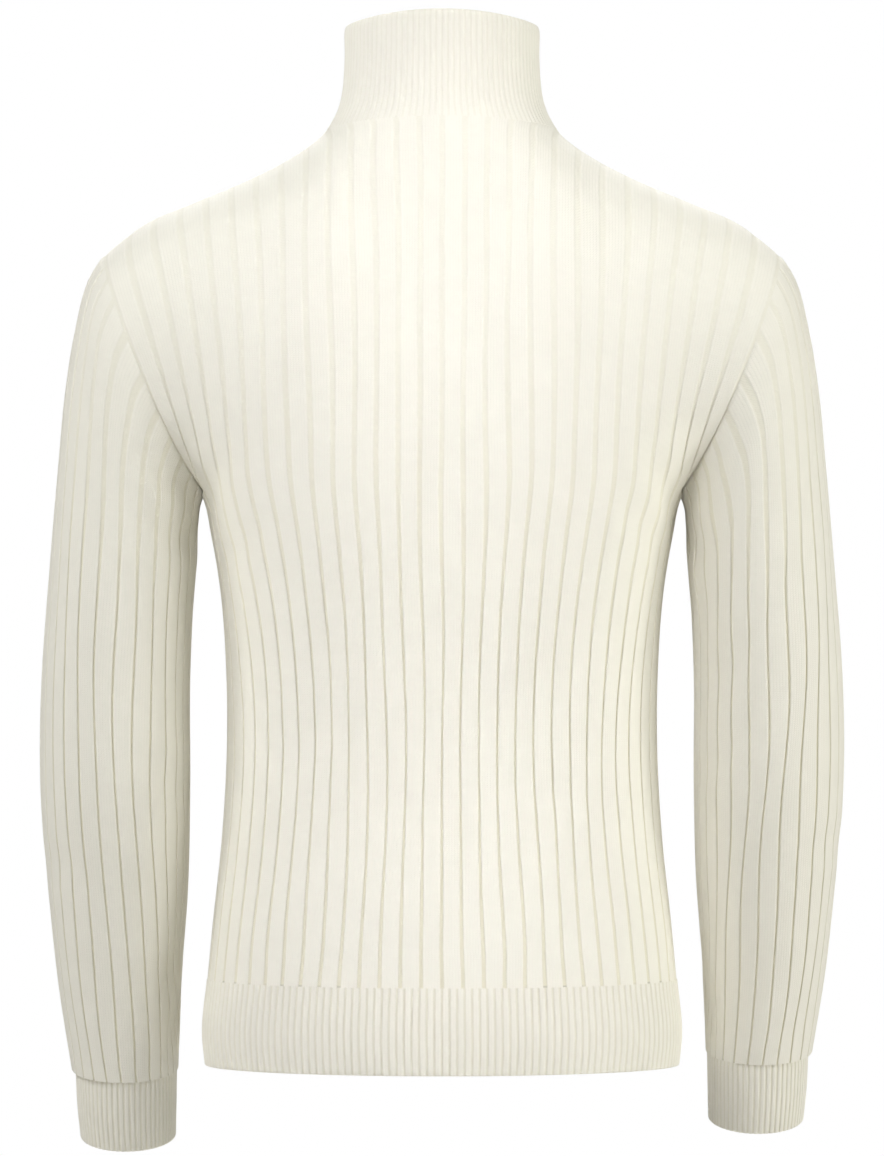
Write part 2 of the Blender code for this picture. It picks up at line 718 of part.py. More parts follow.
def zip_tape(side):
    edge, behind, out = slit_edge()
    mirror = np.array([side, 1, 1])
    near = edge - behind * (SLIT_HALF - TAPE_APART)
    far = edge + behind * TAPE_REACH
    sections = []
    for inner, outer, normal in zip(near, far, out):
        face = -normal * TAPE_BEHIND
        rear = face - normal * TAPE_THICK
        sections.append([(inner + face) * mirror, (outer + face) * mirror,
                         (outer + rear) * mirror, (inner + rear) * mirror])
    return strip("zip_tape_left" if side > 0 else "zip_tape_right", sections)


def chain_line():
    """The middle line of the zip on the tapes' outer face, with its up and out directions."""
    edge, behind, out = slit_edge()
    centre = edge - behind * SLIT_HALF
    centre[:, 0] = 0
    out = unit(out * np.array([0, 1, 1]))
    return centre, line_directions(centre), out


def zip_chain():
    centre, up, out = chain_line()
    centre[0] += up[0] * CHAIN_SHORT
    centre[-1] -= up[-1] * CHAIN_SHORT
    across = np.array([CHAIN_HALF, 0, 0])
    sections = []
    for point, normal in zip(centre, out):
        foot = point + normal * CHAIN_FOOT
        face = foot + normal * CHAIN_THICK
        sections.append([foot - across, foot + across, face + across, face - across])
    return strip("zip_chain", sections)


def pull_axis():
    """The middle of the pull's crossbar, with the zip's up and out directions there."""
    centre = chain_line()[0]
    lengths = np.concatenate([[0], np.cumsum(np.linalg.norm(np.diff(centre, axis=0), axis=1))])
    place = lengths[-1] - SLIDER_BELOW_TOP
    point = np.array([np.interp(place, lengths, centre[:, axis]) for axis in range(3)])
    upward = unit(centre[-1] - centre[-2])
    outward = np.array([0, -upward[2], upward[1]])
    face = CHAIN_FOOT + CHAIN_THICK + SEAM_GAP + SLIDER_THICK
    return point + outward * (face + TUNNEL_HEIGHT / 2), upward, outward


def hinge_frame():
    """An empty at the pull's axis whose Z runs up the zip and whose -Y points out of it."""
    point, upward, outward = pull_axis()
    empty = bpy.data.objects.new("pull_axis", None)
    empty.location = point
    empty.rotation_euler = (math.atan2(-upward[1], upward[2]), 0, 0)
    garment.objects.link(empty)
    return empty


def box(name, size, centre, bevel):
    """A box with rounded edges; size and centre in metres, in the hinge's frame."""
    bpy.ops.mesh.primitive_cube_add(size=1)
    thing = bpy.context.object
    thing.name = name
    for corner in thing.data.vertices:
        corner.co = [corner.co[axis] * size[axis] + centre[axis] for axis in range(3)]
    if bevel:
        soft = thing.modifiers.new("soft_edges", "BEVEL")
        soft.width = bevel
        soft.segments = 2
    return thing


def zip_slider(hinge):
    face = TUNNEL_HEIGHT / 2
    middle = (TUNNEL_ABOVE - TUNNEL_BELOW) / 2
    body = box("zip_slider", (SLIDER_WIDTH, SLIDER_THICK, SLIDER_LENGTH),
               (0, face + SLIDER_THICK / 2, middle), SLIDER_EDGE)
    low = -TUNNEL_BELOW - BRIDGE_WALL
    high = TUNNEL_ABOVE + BRIDGE_WALL
    rise = TUNNEL_HEIGHT + BRIDGE_WALL
    bridge = box("bridge", (BRIDGE_WIDTH, rise + BRIDGE_SUNK, high - low),
                 (0, face + BRIDGE_SUNK - (rise + BRIDGE_SUNK) / 2, middle), BRIDGE_EDGE)
    tunnel = box("tunnel", (2 * BRIDGE_WIDTH, TUNNEL_HEIGHT, TUNNEL_ABOVE + TUNNEL_BELOW),
                 (0, 0, middle), 0)
    cut = bridge.modifiers.new("tunnel", "BOOLEAN")
    cut.operation = "DIFFERENCE"
    cut.object = tunnel
    join = body.modifiers.new("bridge", "BOOLEAN")
    join.operation = "UNION"
    join.object = bridge
    for tool in (bridge, tunnel):
        set_aside(tool)
        tool.parent = hinge
    body.parent = hinge
    return collect(body)


def zip_pull(hinge):
    """The pull: a plate that hangs from the crossbar above its hole."""
    bar = PULL_THICK / 2
    plate = box("zip_pull", (PULL_WIDTH, PULL_THICK, PULL_LENGTH + bar),
                (0, 0, (bar - PULL_LENGTH) / 2), PULL_EDGE)
    hole = box("pull_hole", (PULL_HOLE_WIDTH, 4 * PULL_THICK, PULL_HOLE_LENGTH),
               (0, 0, -bar - PULL_HOLE_LENGTH / 2), 0)
    cut = plate.modifiers.new("hole", "BOOLEAN")
    cut.object = hole
    set_aside(hole)
    hole.parent = hinge
    plate.parent = hinge
    return collect(plate)


# ---------------------------------------------------------------- scene objects

def collect(thing):
    for group in list(thing.users_collection):
        group.objects.unlink(thing)
    garment.objects.link(thing)
    return thing


def set_aside(thing):
    for group in list(thing.users_collection):
        group.objects.unlink(thing)
    cutters.objects.link(thing)
    thing.hide_render = True
    thing.display_type = "WIRE"


def finish_with(thing, name, colour, roughness, metallic=0.0):
    surface = bpy.data.materials.get(name) or bpy.data.materials.new(name)
    surface.use_nodes = True
    shader = surface.node_tree.nodes["Principled BSDF"]
    shader.inputs["Base Color"].default_value = (*colour, 1)
    shader.inputs["Roughness"].default_value = roughness
    shader.inputs["Metallic"].default_value = metallic
    surface.diffuse_color = (*colour, 1)
    thing.data.materials.clear()
    thing.data.materials.append(surface)


def clear_scene():
    for thing in list(bpy.data.objects):
        bpy.data.objects.remove(thing, do_unlink=True)


clear_scene()
garment = bpy.data.collections.new("half_zip_sweater")
cutters = bpy.data.collections.new("cutters")
bpy.context.scene.collection.children.link(garment)
bpy.context.scene.collection.children.link(cutters)

WOOL = (0.83, 0.80, 0.69)
TAPE = (0.72, 0.69, 0.60)
STEEL = (0.62, 0.61, 0.58)

for wide in (body_panel(True), body_panel(False), sleeve(1), sleeve(-1)):
    finish_with(wide, "wide_rib_knit", WOOL, 0.9)
for fine in (hem_panel(True), hem_panel(False), cuff(1), cuff(-1), collar()):
    finish_with(fine, "fine_rib_knit", WOOL, 0.92)
for tape in (zip_tape(1), zip_tape(-1)):
    finish_with(tape, "zip_tape", TAPE, 0.85)
finish_with(zip_chain(), "zip_metal", STEEL, 0.35, 1.0)
pull_hinge = hinge_frame()
for metal in (zip_slider(pull_hinge), zip_pull(pull_hinge)):
    finish_with(metal, "zip_metal", STEEL, 0.35, 1.0)
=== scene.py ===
"""Half-zip sweater in rib knit: its looks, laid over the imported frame.

Metres, +Z up. The wearer faces -Y and the wearer's left arm is at +X. Tables are in millimetres.
Each cloth piece is a thin closed shell: a fine outside with the ribs' own profile over a plain
inside. Its "knit" coordinates count ribs across and metres along, and the materials draw the
stitches from them.
"""
import json
import math

import bmesh
import bpy
import numpy as np
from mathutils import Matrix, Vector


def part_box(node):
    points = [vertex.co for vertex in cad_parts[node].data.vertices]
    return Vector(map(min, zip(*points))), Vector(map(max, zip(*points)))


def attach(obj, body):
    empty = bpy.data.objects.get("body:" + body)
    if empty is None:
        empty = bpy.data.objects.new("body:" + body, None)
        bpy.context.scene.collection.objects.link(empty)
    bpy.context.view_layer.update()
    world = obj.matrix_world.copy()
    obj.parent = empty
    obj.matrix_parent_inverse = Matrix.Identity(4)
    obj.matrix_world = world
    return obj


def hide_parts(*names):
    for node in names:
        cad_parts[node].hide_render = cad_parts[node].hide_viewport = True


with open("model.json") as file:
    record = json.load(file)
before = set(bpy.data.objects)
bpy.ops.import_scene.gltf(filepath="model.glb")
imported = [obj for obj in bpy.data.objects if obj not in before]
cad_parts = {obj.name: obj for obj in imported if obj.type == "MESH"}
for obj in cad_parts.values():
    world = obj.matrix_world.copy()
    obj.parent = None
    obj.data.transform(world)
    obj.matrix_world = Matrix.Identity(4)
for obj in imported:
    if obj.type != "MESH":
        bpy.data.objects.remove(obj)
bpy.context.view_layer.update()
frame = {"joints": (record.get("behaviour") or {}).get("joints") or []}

MM = 0.001
SEAM_GAP = 0.04 * MM    # sewn edges all but touch here
NECK_GAP = 0.04 * MM
SIDE_RIB = 15
ARM_RIB = 14
NECK_RIB = 5
SLEEVE_RIBS = 28
HEM_RIBS = 84
CUFF_RIBS = 60
COLLAR_RIBS = 102
CLOTH = 1.6 * MM
RIB_HEIGHT = 1.2 * MM
WELT_CLOTH = 1.8 * MM
COLLAR_CLOTH = 2.2 * MM
FINE_HEIGHT = 0.8 * MM
COLLAR_HEIGHT = 0.45 * MM  # the collar is stretched, so its ribs stand lower
COLLAR_PITCH = 4.6 * MM
COLLAR_TURN = 8 * MM    # over which the collar turns into the neck seam
COLLAR_RISE = 9 * MM    # over which its ribs rise above that seam
COLLAR_SWELL = 16 * MM  # and its cloth thickens
COLLAR_FOLD_THIN = 0.6  # share of its thickness that it keeps beside the zip
COLLAR_FOLD_REACH = 2.4 * MM
CAP_TURN = 5 * MM       # over which a sleeve turns into the armhole seam
CAP_START = 0.6 * MM    # its ribs begin to rise this far before that seam
ROW_STEP = 5.0 * MM     # along the ribs, between two rows of points
FINE_STEP = 4 * MM      # the same along fine ribs
RIBS_A_BLOCK = 3        # fine ribs between two columns of the inside
EDGE_STEPS = (0.25, 0.7, 1.4, 2.6)  # rows beside a free edge, in millimetres from it
EDGE_ROUND = 1.5 * MM   # over which a free edge is rounded,
EDGE_THIN = 0.45        # down to this share of its thickness
SAMPLES = 721
BODY_PITCH = 13.8 * MM  # from rib to rib, where creases are placed
YOKE_PITCH = 14.5 * MM
SLEEVE_PITCH = 12.5 * MM
SEAM_THIN = 0.92        # share of its thickness that cloth keeps at a sewn seam
FOLD_THIN = 0.7         # and at the edge that is folded back to the zip
SEAM_REACH = 2.6 * MM
TOP_FADE = 3.5 * MM     # over which ribs fade out at the neck, the shoulders and the armholes
TOP_LEVEL = 0.4         # share of a rib's height that the cloth keeps there
CREASE_FADE = 12 * MM
CUFF_STEP = 0.35 * MM   # how far the cuff lies below the sleeve's end
FAR = 1.0

# A wide rib and its trough count as 8 stitches: 6 knit on the rib and 2 purl in the trough. A fine
# one counts as 3: 2 knit and 1 purl. The columns of points stand at these shares of the count
WIDE_STEPS = (0, 0.05, 0.08, 0.1, 0.12, 0.14, 0.17, 0.26, 0.5,
              0.74, 0.83, 0.86, 0.88, 0.9, 0.92, 0.95)
FINE_STEPS = (0, 0.09, 0.17, 0.27, 0.5, 0.73, 0.83, 0.91)
WIDE_WALES = 8
FINE_WALES = 3
FLOOR_EDGE = 0.075      # half width of a wide trough's floor, as a share of the count
FLANK_EDGE = 0.15       # where its steep side ends
TROUGH_SHARE = 0.125    # where the knit begins
FINE_FLOOR = 0.05
FINE_FLANK = 0.25
CROWN = 0.16            # how much of a wide rib's height is its gentle crown
RIB_WIDTH = 11.3 * MM   # a rib keeps this width, and its trough opens as the cloth is stretched
TROUGH_LEAST = 0.055    # half the open trough, as a share of the real pitch
TROUGH_MOST = 0.14
FLATTENED = 0.6         # how much lower a rib stands where its trough is wide open

BODY_COLUMNS = ("height", "half_width", "back", "front", "square")
BODY = (
    (-597, 164.6, 110, 106, 0.0),
    (-560, 161.0, 106, 104, 0.0),
    (-500, 154.4, 98, 99, 0.0),
    (-440, 150.8, 93, 97, 0.0),
    (-380, 151.2, 95, 100, 0.1),
    (-320, 156.0, 102, 104, 0.3),
    (-285, 162.0, 105, 105, 0.45),
    (-263, 166.6, 107, 106, 0.55),
    (-253, 170.6, 107, 106, 0.6),
)
BODY_FOOT = -597
ARMPIT = -253
SLIT_SHARE = 0.14       # share of the yoke where the slit for the zip begins
SLIT_STEPS = 8          # rows of points from the armpits up to there
YOKE_SHARES = np.concatenate([np.linspace(0, SLIT_SHARE, SLIT_STEPS + 1),
                              np.linspace(SLIT_SHARE, 1, 50)[1:]])
YOKE_RUN = 0.27         # metres along the yoke, from the armpits to the shoulders
NECK_EASE = 2.4         # ribs over which the corner beside the neck is rounded
NECK_EASE_FROM = 0.35   # share of the yoke below its top where that is whole
JOINT_ROWS = 6          # rows beside the armpits' level that are eased
JOINT_PASSES = 12
SLIT_HALF = 5.2 * MM
YOKE_COLUMNS = ("rib", "lean", "swell", "rise", "tip", "crest", "brow")
YOKE_BACK = (
    (0, 0, 6, 90, 0, 84, -40),
    (3, 0, 7, 86, 0, 91, -32),
    (5, 0, 9, 84, 0, 100, -18),
    (8, 2, 14, 76, 0, 98, -46),
    (11, 8, 28, 62, 3, 95, -68),
    (14, 22, 68, 26, 8, 96, -96),
)
YOKE_FRONT = (
    (0, 0, 7, 62, 0, 84, -100),
    (3, 0, 8, 66, 0, 90, -78),
    (5, 0, 10, 72, 0, 96, -44),
    (8, 2, 14, 72, 0, 96, -58),
    (11, 8, 28, 62, 3, 92, -72),
    (14, 22, 66, 26, 8, 93, -96),
)
SHOULDER_COLUMNS = ("across", "height")
SHOULDER = ((77, -5), (100, -21.5), (131, -38), (172, -55.5), (209, -72), (234, -92))
FRONT_DIP = 2.2         # power of the neckline's curve at the front
NECK_COLUMNS = ("half_width", "back", "front", "z_back", "z_side", "z_front")
NECK = (
    (77.0, 64, 62, 2, -5, -50),
    (69.0, 59, 60, 22, 15, -29),
    (65.6, 56, 59.5, 52, 45, 2),
    (66.0, 57, 61, 77.5, 70, 34),
)
NECK_PITCH = NECK[0][0] * MM / NECK_RIB
SLIT_RIB = SLIT_HALF / NECK_PITCH
NECK_LEAN = 0.32        # rise of the neck seam's outward direction
NECK_SIDE_LEAN = 0.43   # and how much more beside the shoulders
NECK_FILL = 0.9 * MM    # how far cloth fills the corner at the neck seam, so that it curves
SIDE_FILL = 2.0 * MM    # how much farther beside the shoulders
FILL_REACH = 16 * MM    # and how far from the seam
NECK_ROWS = 18          # of points below the neck seam that may lie so near
COLLAR_LEAN = 1.8 * MM  # how far the collar's rim leans in
LEAN_REACH = 7 * MM
SLEEVE_COLUMNS = ("x_out", "z_out", "x_in", "z_in", "half_depth", "back", "drop", "keep")
SLEEVE = (
    (237.0, -92, 168.5, -253, 71.0, 0, 0, 1.00),
    (246.0, -106, 171.5, -262, 71.5, 0, 0, 1.00),
    (257.0, -146, 172.3, -277, 70.5, 0, 0, 1.00),
    (263.5, -186, 172.3, -292, 69.0, 0, 0, 1.00),
    (268.5, -238, 172.5, -310, 67.0, 0, 0, 0.97),
    (274.5, -308, 174.5, -342, 64.5, 0, 0, 0.92),
    (280.5, -390, 176.4, -395, 62.0, -2, 0, 0.87),
    (281.5, -460, 176.4, -460, 60.0, -6, 2, 0.82),
    (276.5, -535, 178.4, -535, 55.0, -17, 5, 0.70),
    (270.0, -603, 183.8, -603, 48.5, -30, 8, 0.52),
    (261.5, -662, 186.2, -662, 42.5, -42, 8, 0.42),
)
FADE = (1.0, 0.8, 0.55, 0.3, 0.12, 0.0)  # of the armhole's own shape, by section
CUFF = (
    (259.0, -662, 187.0, -662, 41.5, -42, 8, 1.0),
    (257.9, -690, 187.6, -690, 40.4, -47.5, 8, 1.0),
    (256.0, -711, 188.2, -711, 39.0, -53, 8, 1.0),
)
RIGHT_SLEEVE_SHORTER = 12.5
SHORTER_FROM = 300
SHORTER_WHOLE = 660
UNDERARM_REACH = 0.16
HEM_COLUMNS = ("height", "half_width", "back", "front")
HEM = ((-597, 164.6, 110, 106), (-636, 168.0, 111, 107), (-657, 166.0, 109, 105))

# Soft creases in each piece's own sizes: from a rib number and a distance along the cloth to
# another, with the crease's half width and its depth, a trough above zero and a ridge below
CREASE_COLUMNS = ("rib", "along", "rib_end", "along_end", "half_width", "depth")
CREASES = {
    "back": (
        (-13.2, 318, -9.5, 372, 9, 1.5),
        (-12.6, 296, -8.2, 338, 8, 1.0),
        (13.2, 322, 9.6, 380, 10, 1.6),
        (12.4, 290, 8.0, 326, 8, 0.9),
        (-9.0, 128, -3.0, 142, 11, 0.7),
        (3.5, 176, 9.5, 160, 12, 0.7),
    ),
    "front": (
        (-13.3, 316, -9.8, 366, 9, 1.5),
        (13.2, 320, 9.4, 374, 10, 1.5),
        (12.0, 288, 8.5, 318, 8, 0.9),
        (-8.5, 150, -2.0, 168, 12, 0.7),
        (2.5, 120, 9.0, 134, 11, 0.7),
    ),
    "sleeve_left": (
        (0.8, 355, 4.4, 430, 8, 2.0),
        (2.2, 330, 4.8, 382, 7, 1.4),
        (26.6, 352, 24.0, 420, 8, 1.8),
        (1.0, 26, 4.6, 66, 9, 1.8),
        (27.0, 30, 23.6, 68, 9, 1.8),
        (3.0, 14, 6.4, 38, 7, 1.0),
        (8.0, 396, 13.0, 430, 10, 0.8),
        (1.6, 210, 5.0, 238, 11, 1.0),
    ),
    "sleeve_right": (
        (1.0, 345, 4.0, 408, 8, 1.6),
        (26.8, 330, 24.2, 398, 8, 1.7),
        (1.0, 28, 4.2, 70, 9, 1.9),
        (27.0, 26, 23.4, 62, 9, 1.7),
        (3.4, 150, 8.4, 176, 12, 1.1),
        (2.6, 204, 7.0, 230, 11, 1.0),
        (9.0, 390, 14.0, 420, 10, 0.8),
    ),
}
# Slow wander of the ribs, in shares of a rib: how far, over how many metres along, over how many
# ribs across, and where it starts
WANDER = {
    "back": ((0.050, 0.31, 9.0, 0.4), (0.030, 0.17, 5.0, 2.1)),
    "front": ((0.050, 0.29, 8.0, 1.3), (0.030, 0.18, 5.5, 0.2)),
    "sleeve_left": ((0.060, 0.27, 8.0, 2.6), (0.035, 0.15, 4.5, 0.9)),
    "sleeve_right": ((0.090, 0.21, 7.0, 0.3), (0.045, 0.12, 4.0, 1.7)),
}
# Places where ribs bow out of line: how far, in ribs, at what distance along and over how many
# metres, and beside which rib and over how many ribs
SWAY = {
    "sleeve_right": ((0.30, 0.10, 0.07, 7.0, 5.0), (-0.18, 0.30, 0.09, 7.0, 5.0)),
    "sleeve_left": ((0.12, 0.12, 0.08, 8.0, 5.0), (-0.15, 0.42, 0.08, 6.0, 4.0)),
}


def column(table, names, name):
    """One named column of a table, in metres."""
    place = names.index(name)
    return np.array([row[place] for row in table], float) * MM


def sizes(names, row):
    """A table's row by its columns' names, in metres."""
    return {name: value * MM for name, value in zip(names, row)}


def smooth(xs, ys, x):
    """A smooth curve through the points (xs, ys), read at x."""
    xs = np.asarray(xs, float)
    ys = np.asarray(ys, float)
    slopes = np.gradient(ys, xs, axis=0)
    x = np.clip(x, xs[0], xs[-1])
    k = np.clip(np.searchsorted(xs, x, side="right") - 1, 0, len(xs) - 2)
    step = xs[k + 1] - xs[k]
    s = (x - xs[k]) / step
    if ys.ndim > 1:
        shape = (-1,) + (1,) * (ys.ndim - 1)
        step = step.reshape(shape)
        s = s.reshape(shape)
    rise = 3 * s**2 - 2 * s**3
    lead = (s - 2 * s**2 + s**3) * step
    tail = (s**3 - s**2) * step
    return ys[k] * (1 - rise) + ys[k + 1] * rise + slopes[k] * lead + slopes[k + 1] * tail


def ramp(x):
    """0 below 0 and 1 above 1, with a soft start and end."""
    x = np.clip(x, 0, 1)
    return x * x * (3 - 2 * x)


def unit(vectors):
    return vectors / np.linalg.norm(vectors, axis=-1, keepdims=True)


def line_directions(line):
    pieces = unit(np.diff(line, axis=0))
    return unit(np.vstack([pieces[:1], pieces[:-1] + pieces[1:], pieces[-1:]]))


def run_along(line):
    """Distance along a line of points, from its first."""
    return np.concatenate([[0], np.cumsum(np.linalg.norm(np.diff(line, axis=0), axis=1))])


def read_line(run, line, places):
    """A line's points at the given distances along it."""
    return np.stack([np.interp(places, run, line[:, axis]) for axis in range(3)], axis=-1)


def along(points, shares, weights=None):
    """Points at the given shares of a polyline's length, or of its weighted length."""
    places = run_along(points) if weights is None else np.concatenate([[0], np.cumsum(weights)])
    return read_line(places / places[-1], points, shares)


def run_lengths(grid):
    """Distance along each column of a grid of points, from its first row."""
    steps = np.linalg.norm(np.diff(grid, axis=0), axis=2)
    return np.concatenate([np.zeros((1, grid.shape[1])), np.cumsum(steps, axis=0)])


def edge_rows(length, step, first=False, last=False):
    """Distances along a piece, a step apart, closer together beside a free edge."""
    rows = list(np.linspace(0, length, max(2, round(length / step) + 1)))
    near = np.array(EDGE_STEPS) * MM
    if first:
        rows += list(near)
    if last:
        rows += list(length - near)
    return np.array(sorted(set(np.round(rows, 6))))


# ---------------------------------------------------------------- body surface

def body_section(back, height, ribs):
    heights = column(BODY, BODY_COLUMNS, "height")
    wall = CLOTH + RIB_HEIGHT
    across = smooth(heights, column(BODY, BODY_COLUMNS, "half_width"), height) - wall
    depth = smooth(heights, column(BODY, BODY_COLUMNS, "back" if back else "front"), height) - wall
    power = 2 / (2 + smooth(heights, column(BODY, BODY_COLUMNS, "square") / MM, height))
    turn = np.linspace(0, math.pi / 2, SAMPLES)
    quarter = np.stack([across * np.sin(turn) ** power, depth * np.cos(turn).clip(0) ** power,
                        np.zeros_like(turn)], axis=1)
    points = along(quarter, np.abs(ribs) / SIDE_RIB)
    points[:, 0] *= np.sign(ribs)
    points[:, 1] *= 1 if back else -1
    points[:, 2] = height
    return points


def ring_point(ring, across, back):
    size = sizes(NECK_COLUMNS, ring)
    reach = np.sqrt(np.clip(1 - (across / size["half_width"]) ** 2, 0, 1))
    depth, level, power = ((size["back"], size["z_back"], 2) if back
                           else (-size["front"], size["z_front"], FRONT_DIP))
    height = size["z_side"] + (level - size["z_side"]) * reach**power
    return np.stack([across, depth * reach, height], axis=1)


def shoulder_line(back, ribs):
    across = column(SHOULDER, SHOULDER_COLUMNS, "across")
    heights = column(SHOULDER, SHOULDER_COLUMNS, "height")
    number = np.abs(ribs)
    x = np.where(number <= NECK_RIB, across[0] * number / NECK_RIB,
                 across[0] + (across[-1] - across[0]) * (number - NECK_RIB) / (ARM_RIB - NECK_RIB))
    points = ring_point(NECK[0], x, back)
    outside = number > NECK_RIB
    points[outside, 1] = 0
    points[outside, 2] = smooth(across, heights, x[outside])
    points[:, 0] *= np.sign(ribs)
    return points


def eased_line(back, ribs, share):
    """The line that the ribs end on, with the corner beside the neck rounded below the top."""
    reach = NECK_EASE * min((1 - share) / NECK_EASE_FROM, 1)
    reach = reach * np.clip((ARM_RIB - np.abs(ribs)) / NECK_RIB, 0, 1)
    offsets = np.linspace(-1, 1, 9)
    return sum(shoulder_line(back, ribs + offset * reach) for offset in offsets) / len(offsets)


def yoke_row(back, share, ribs):
    table = YOKE_BACK if back else YOKE_FRONT
    numbers = [row[0] for row in table]
    start = body_section(back, ARMPIT * MM, ribs)
    end = eased_line(back, ribs, share)
    side = np.sign(ribs)
    outward = 1 if back else -1
    handle = {name: smooth(numbers, column(table, YOKE_COLUMNS, name), np.abs(ribs))
              for name in YOKE_COLUMNS[1:]}
    leave = start + np.stack([side * handle["lean"], outward * handle["swell"],
                              handle["rise"]], axis=1)
    arrive = np.stack([end[:, 0] + side * handle["tip"], outward * handle["crest"],
                       handle["brow"]], axis=1)
    rest = 1 - share
    return (start * rest**3 + leave * 3 * rest**2 * share
            + arrive * 3 * rest * share**2 + end * share**3)


# ---------------------------------------------------------------- shells

def directions(points, closed=False):
    rows = np.gradient(points, axis=0)
    if closed:
        columns = np.roll(points, -1, axis=1) - np.roll(points, 1, axis=1)
    else:
        columns = np.gradient(points, axis=1)
    return unit(np.cross(columns, rows))


def wide_relief(ribs):
    """How high the outside stands, from 0 on a trough's floor to 1 on a wide rib's crown."""
    away = np.abs(ribs - np.round(ribs))
    flank = ramp((away - FLOOR_EDGE) / (FLANK_EDGE - FLOOR_EDGE))
    crown = 1 - ((0.5 - away) / (0.5 - FLOOR_EDGE)) ** 2
    return flank * (1 - CROWN + CROWN * crown)


def fine_relief(ribs):
    away = np.abs(ribs - np.round(ribs))
    return ramp((away - FINE_FLOOR) / (FINE_FLANK - FINE_FLOOR))


def thinning(away, least, reach):
    """The share of its thickness that cloth keeps at a distance from a seam."""
    return least + (1 - least) * ramp(away / reach)


def trough_share(pitch):
    """Half of the open trough, as a share of the pitch from rib to rib."""
    return np.clip((1 - RIB_WIDTH / pitch) / 2, TROUGH_LEAST, TROUGH_MOST)


def opened(ribs, pitch):
    """Rib numbers moved so that a rib keeps its width and its trough takes up the stretch."""
    trough = trough_share(pitch)
    nearest = np.round(ribs)
    away = np.abs(ribs - nearest)
    floor = away * trough / TROUGH_SHARE
    rib = trough + (away - TROUGH_SHARE) * (0.5 - trough) / (0.5 - TROUGH_SHARE)
    return nearest + np.sign(ribs - nearest) * np.where(away < TROUGH_SHARE, floor, rib)


def rib_stand(pitch):
    """How high a rib stands: less where its trough is wide open."""
    return 1 - FLATTENED * (trough_share(pitch) - TROUGH_LEAST) / (TROUGH_MOST - TROUGH_LEAST)


def pitch_along(points, numbers, ribs):
    """The real pitch at each rib number, from the points where whole ribs begin."""
    pitch = np.linalg.norm(np.diff(points, axis=0), axis=1)
    return np.interp(ribs, numbers[:-1] + 0.5, pitch)


def wander(name, ribs, run, steady):
    """Rib numbers moved a little along each row; `steady` is 0 where they keep their place."""
    shift = 0
    for reach, place, span, rib, width in SWAY.get(name, ()):
        shift = shift + reach * np.exp(-((run - place) / span) ** 2 - ((ribs - rib) / width) ** 2)
    for reach, length, across, start in WANDER[name]:
        shift = shift + reach * np.sin(2 * math.pi * (run / length + ribs / across) + start)
    return ribs + shift * steady


def crease_depth(name, ribs, run, pitch):
    """How far each point sinks in the soft creases of a piece, in metres."""
    depth = np.zeros(np.broadcast(ribs, run).shape)
    for row in CREASES[name]:
        item = dict(zip(CREASE_COLUMNS, row))
        low = np.array([item["rib"] * pitch, item["along"] * MM])
        high = np.array([item["rib_end"] * pitch, item["along_end"] * MM])
        line = high - low
        share = ((ribs * pitch - low[0]) * line[0] + (run - low[1]) * line[1]) / (line @ line)
        at = np.clip(share, 0, 1)
        off = np.hypot(ribs * pitch - low[0] - at * line[0], run - low[1] - at * line[1])
        bow = np.sin(math.pi * np.clip(0.12 + 0.76 * at, 0, 1))
        half = item["half_width"] * MM
        valley = np.exp(-(off / half) ** 2) - 0.35 * np.exp(-((off / half - 1.9) / 0.8) ** 2)
        depth += item["depth"] * MM * bow * valley
    return depth


def new_mesh(name, points, faces, places=None, smooth=False):
    """A mesh with its faces turned outward. `places` holds the knit coordinates of each face's
    corners in turn, and `smooth` is for all faces or for each."""
    mesh = bpy.data.meshes.new(name)
    mesh.from_pydata([tuple(point) for point in points], [], faces)
    if places is not None:
        layer = mesh.uv_layers.new(name="knit")
        layer.data.foreach_set("uv", np.array(places, float).ravel())
    mesh.polygons.foreach_set("use_smooth", np.full(len(faces), smooth))
    shape = bmesh.new()
    shape.from_mesh(mesh)
    bmesh.ops.recalc_face_normals(shape, faces=shape.faces)
    for edge in shape.edges:
        edge.smooth = all(face.smooth for face in edge.link_faces)
    shape.to_mesh(mesh)
    shape.free()
    thing = bpy.data.objects.new(name, mesh)
    bpy.context.scene.collection.objects.link(thing)
    return thing


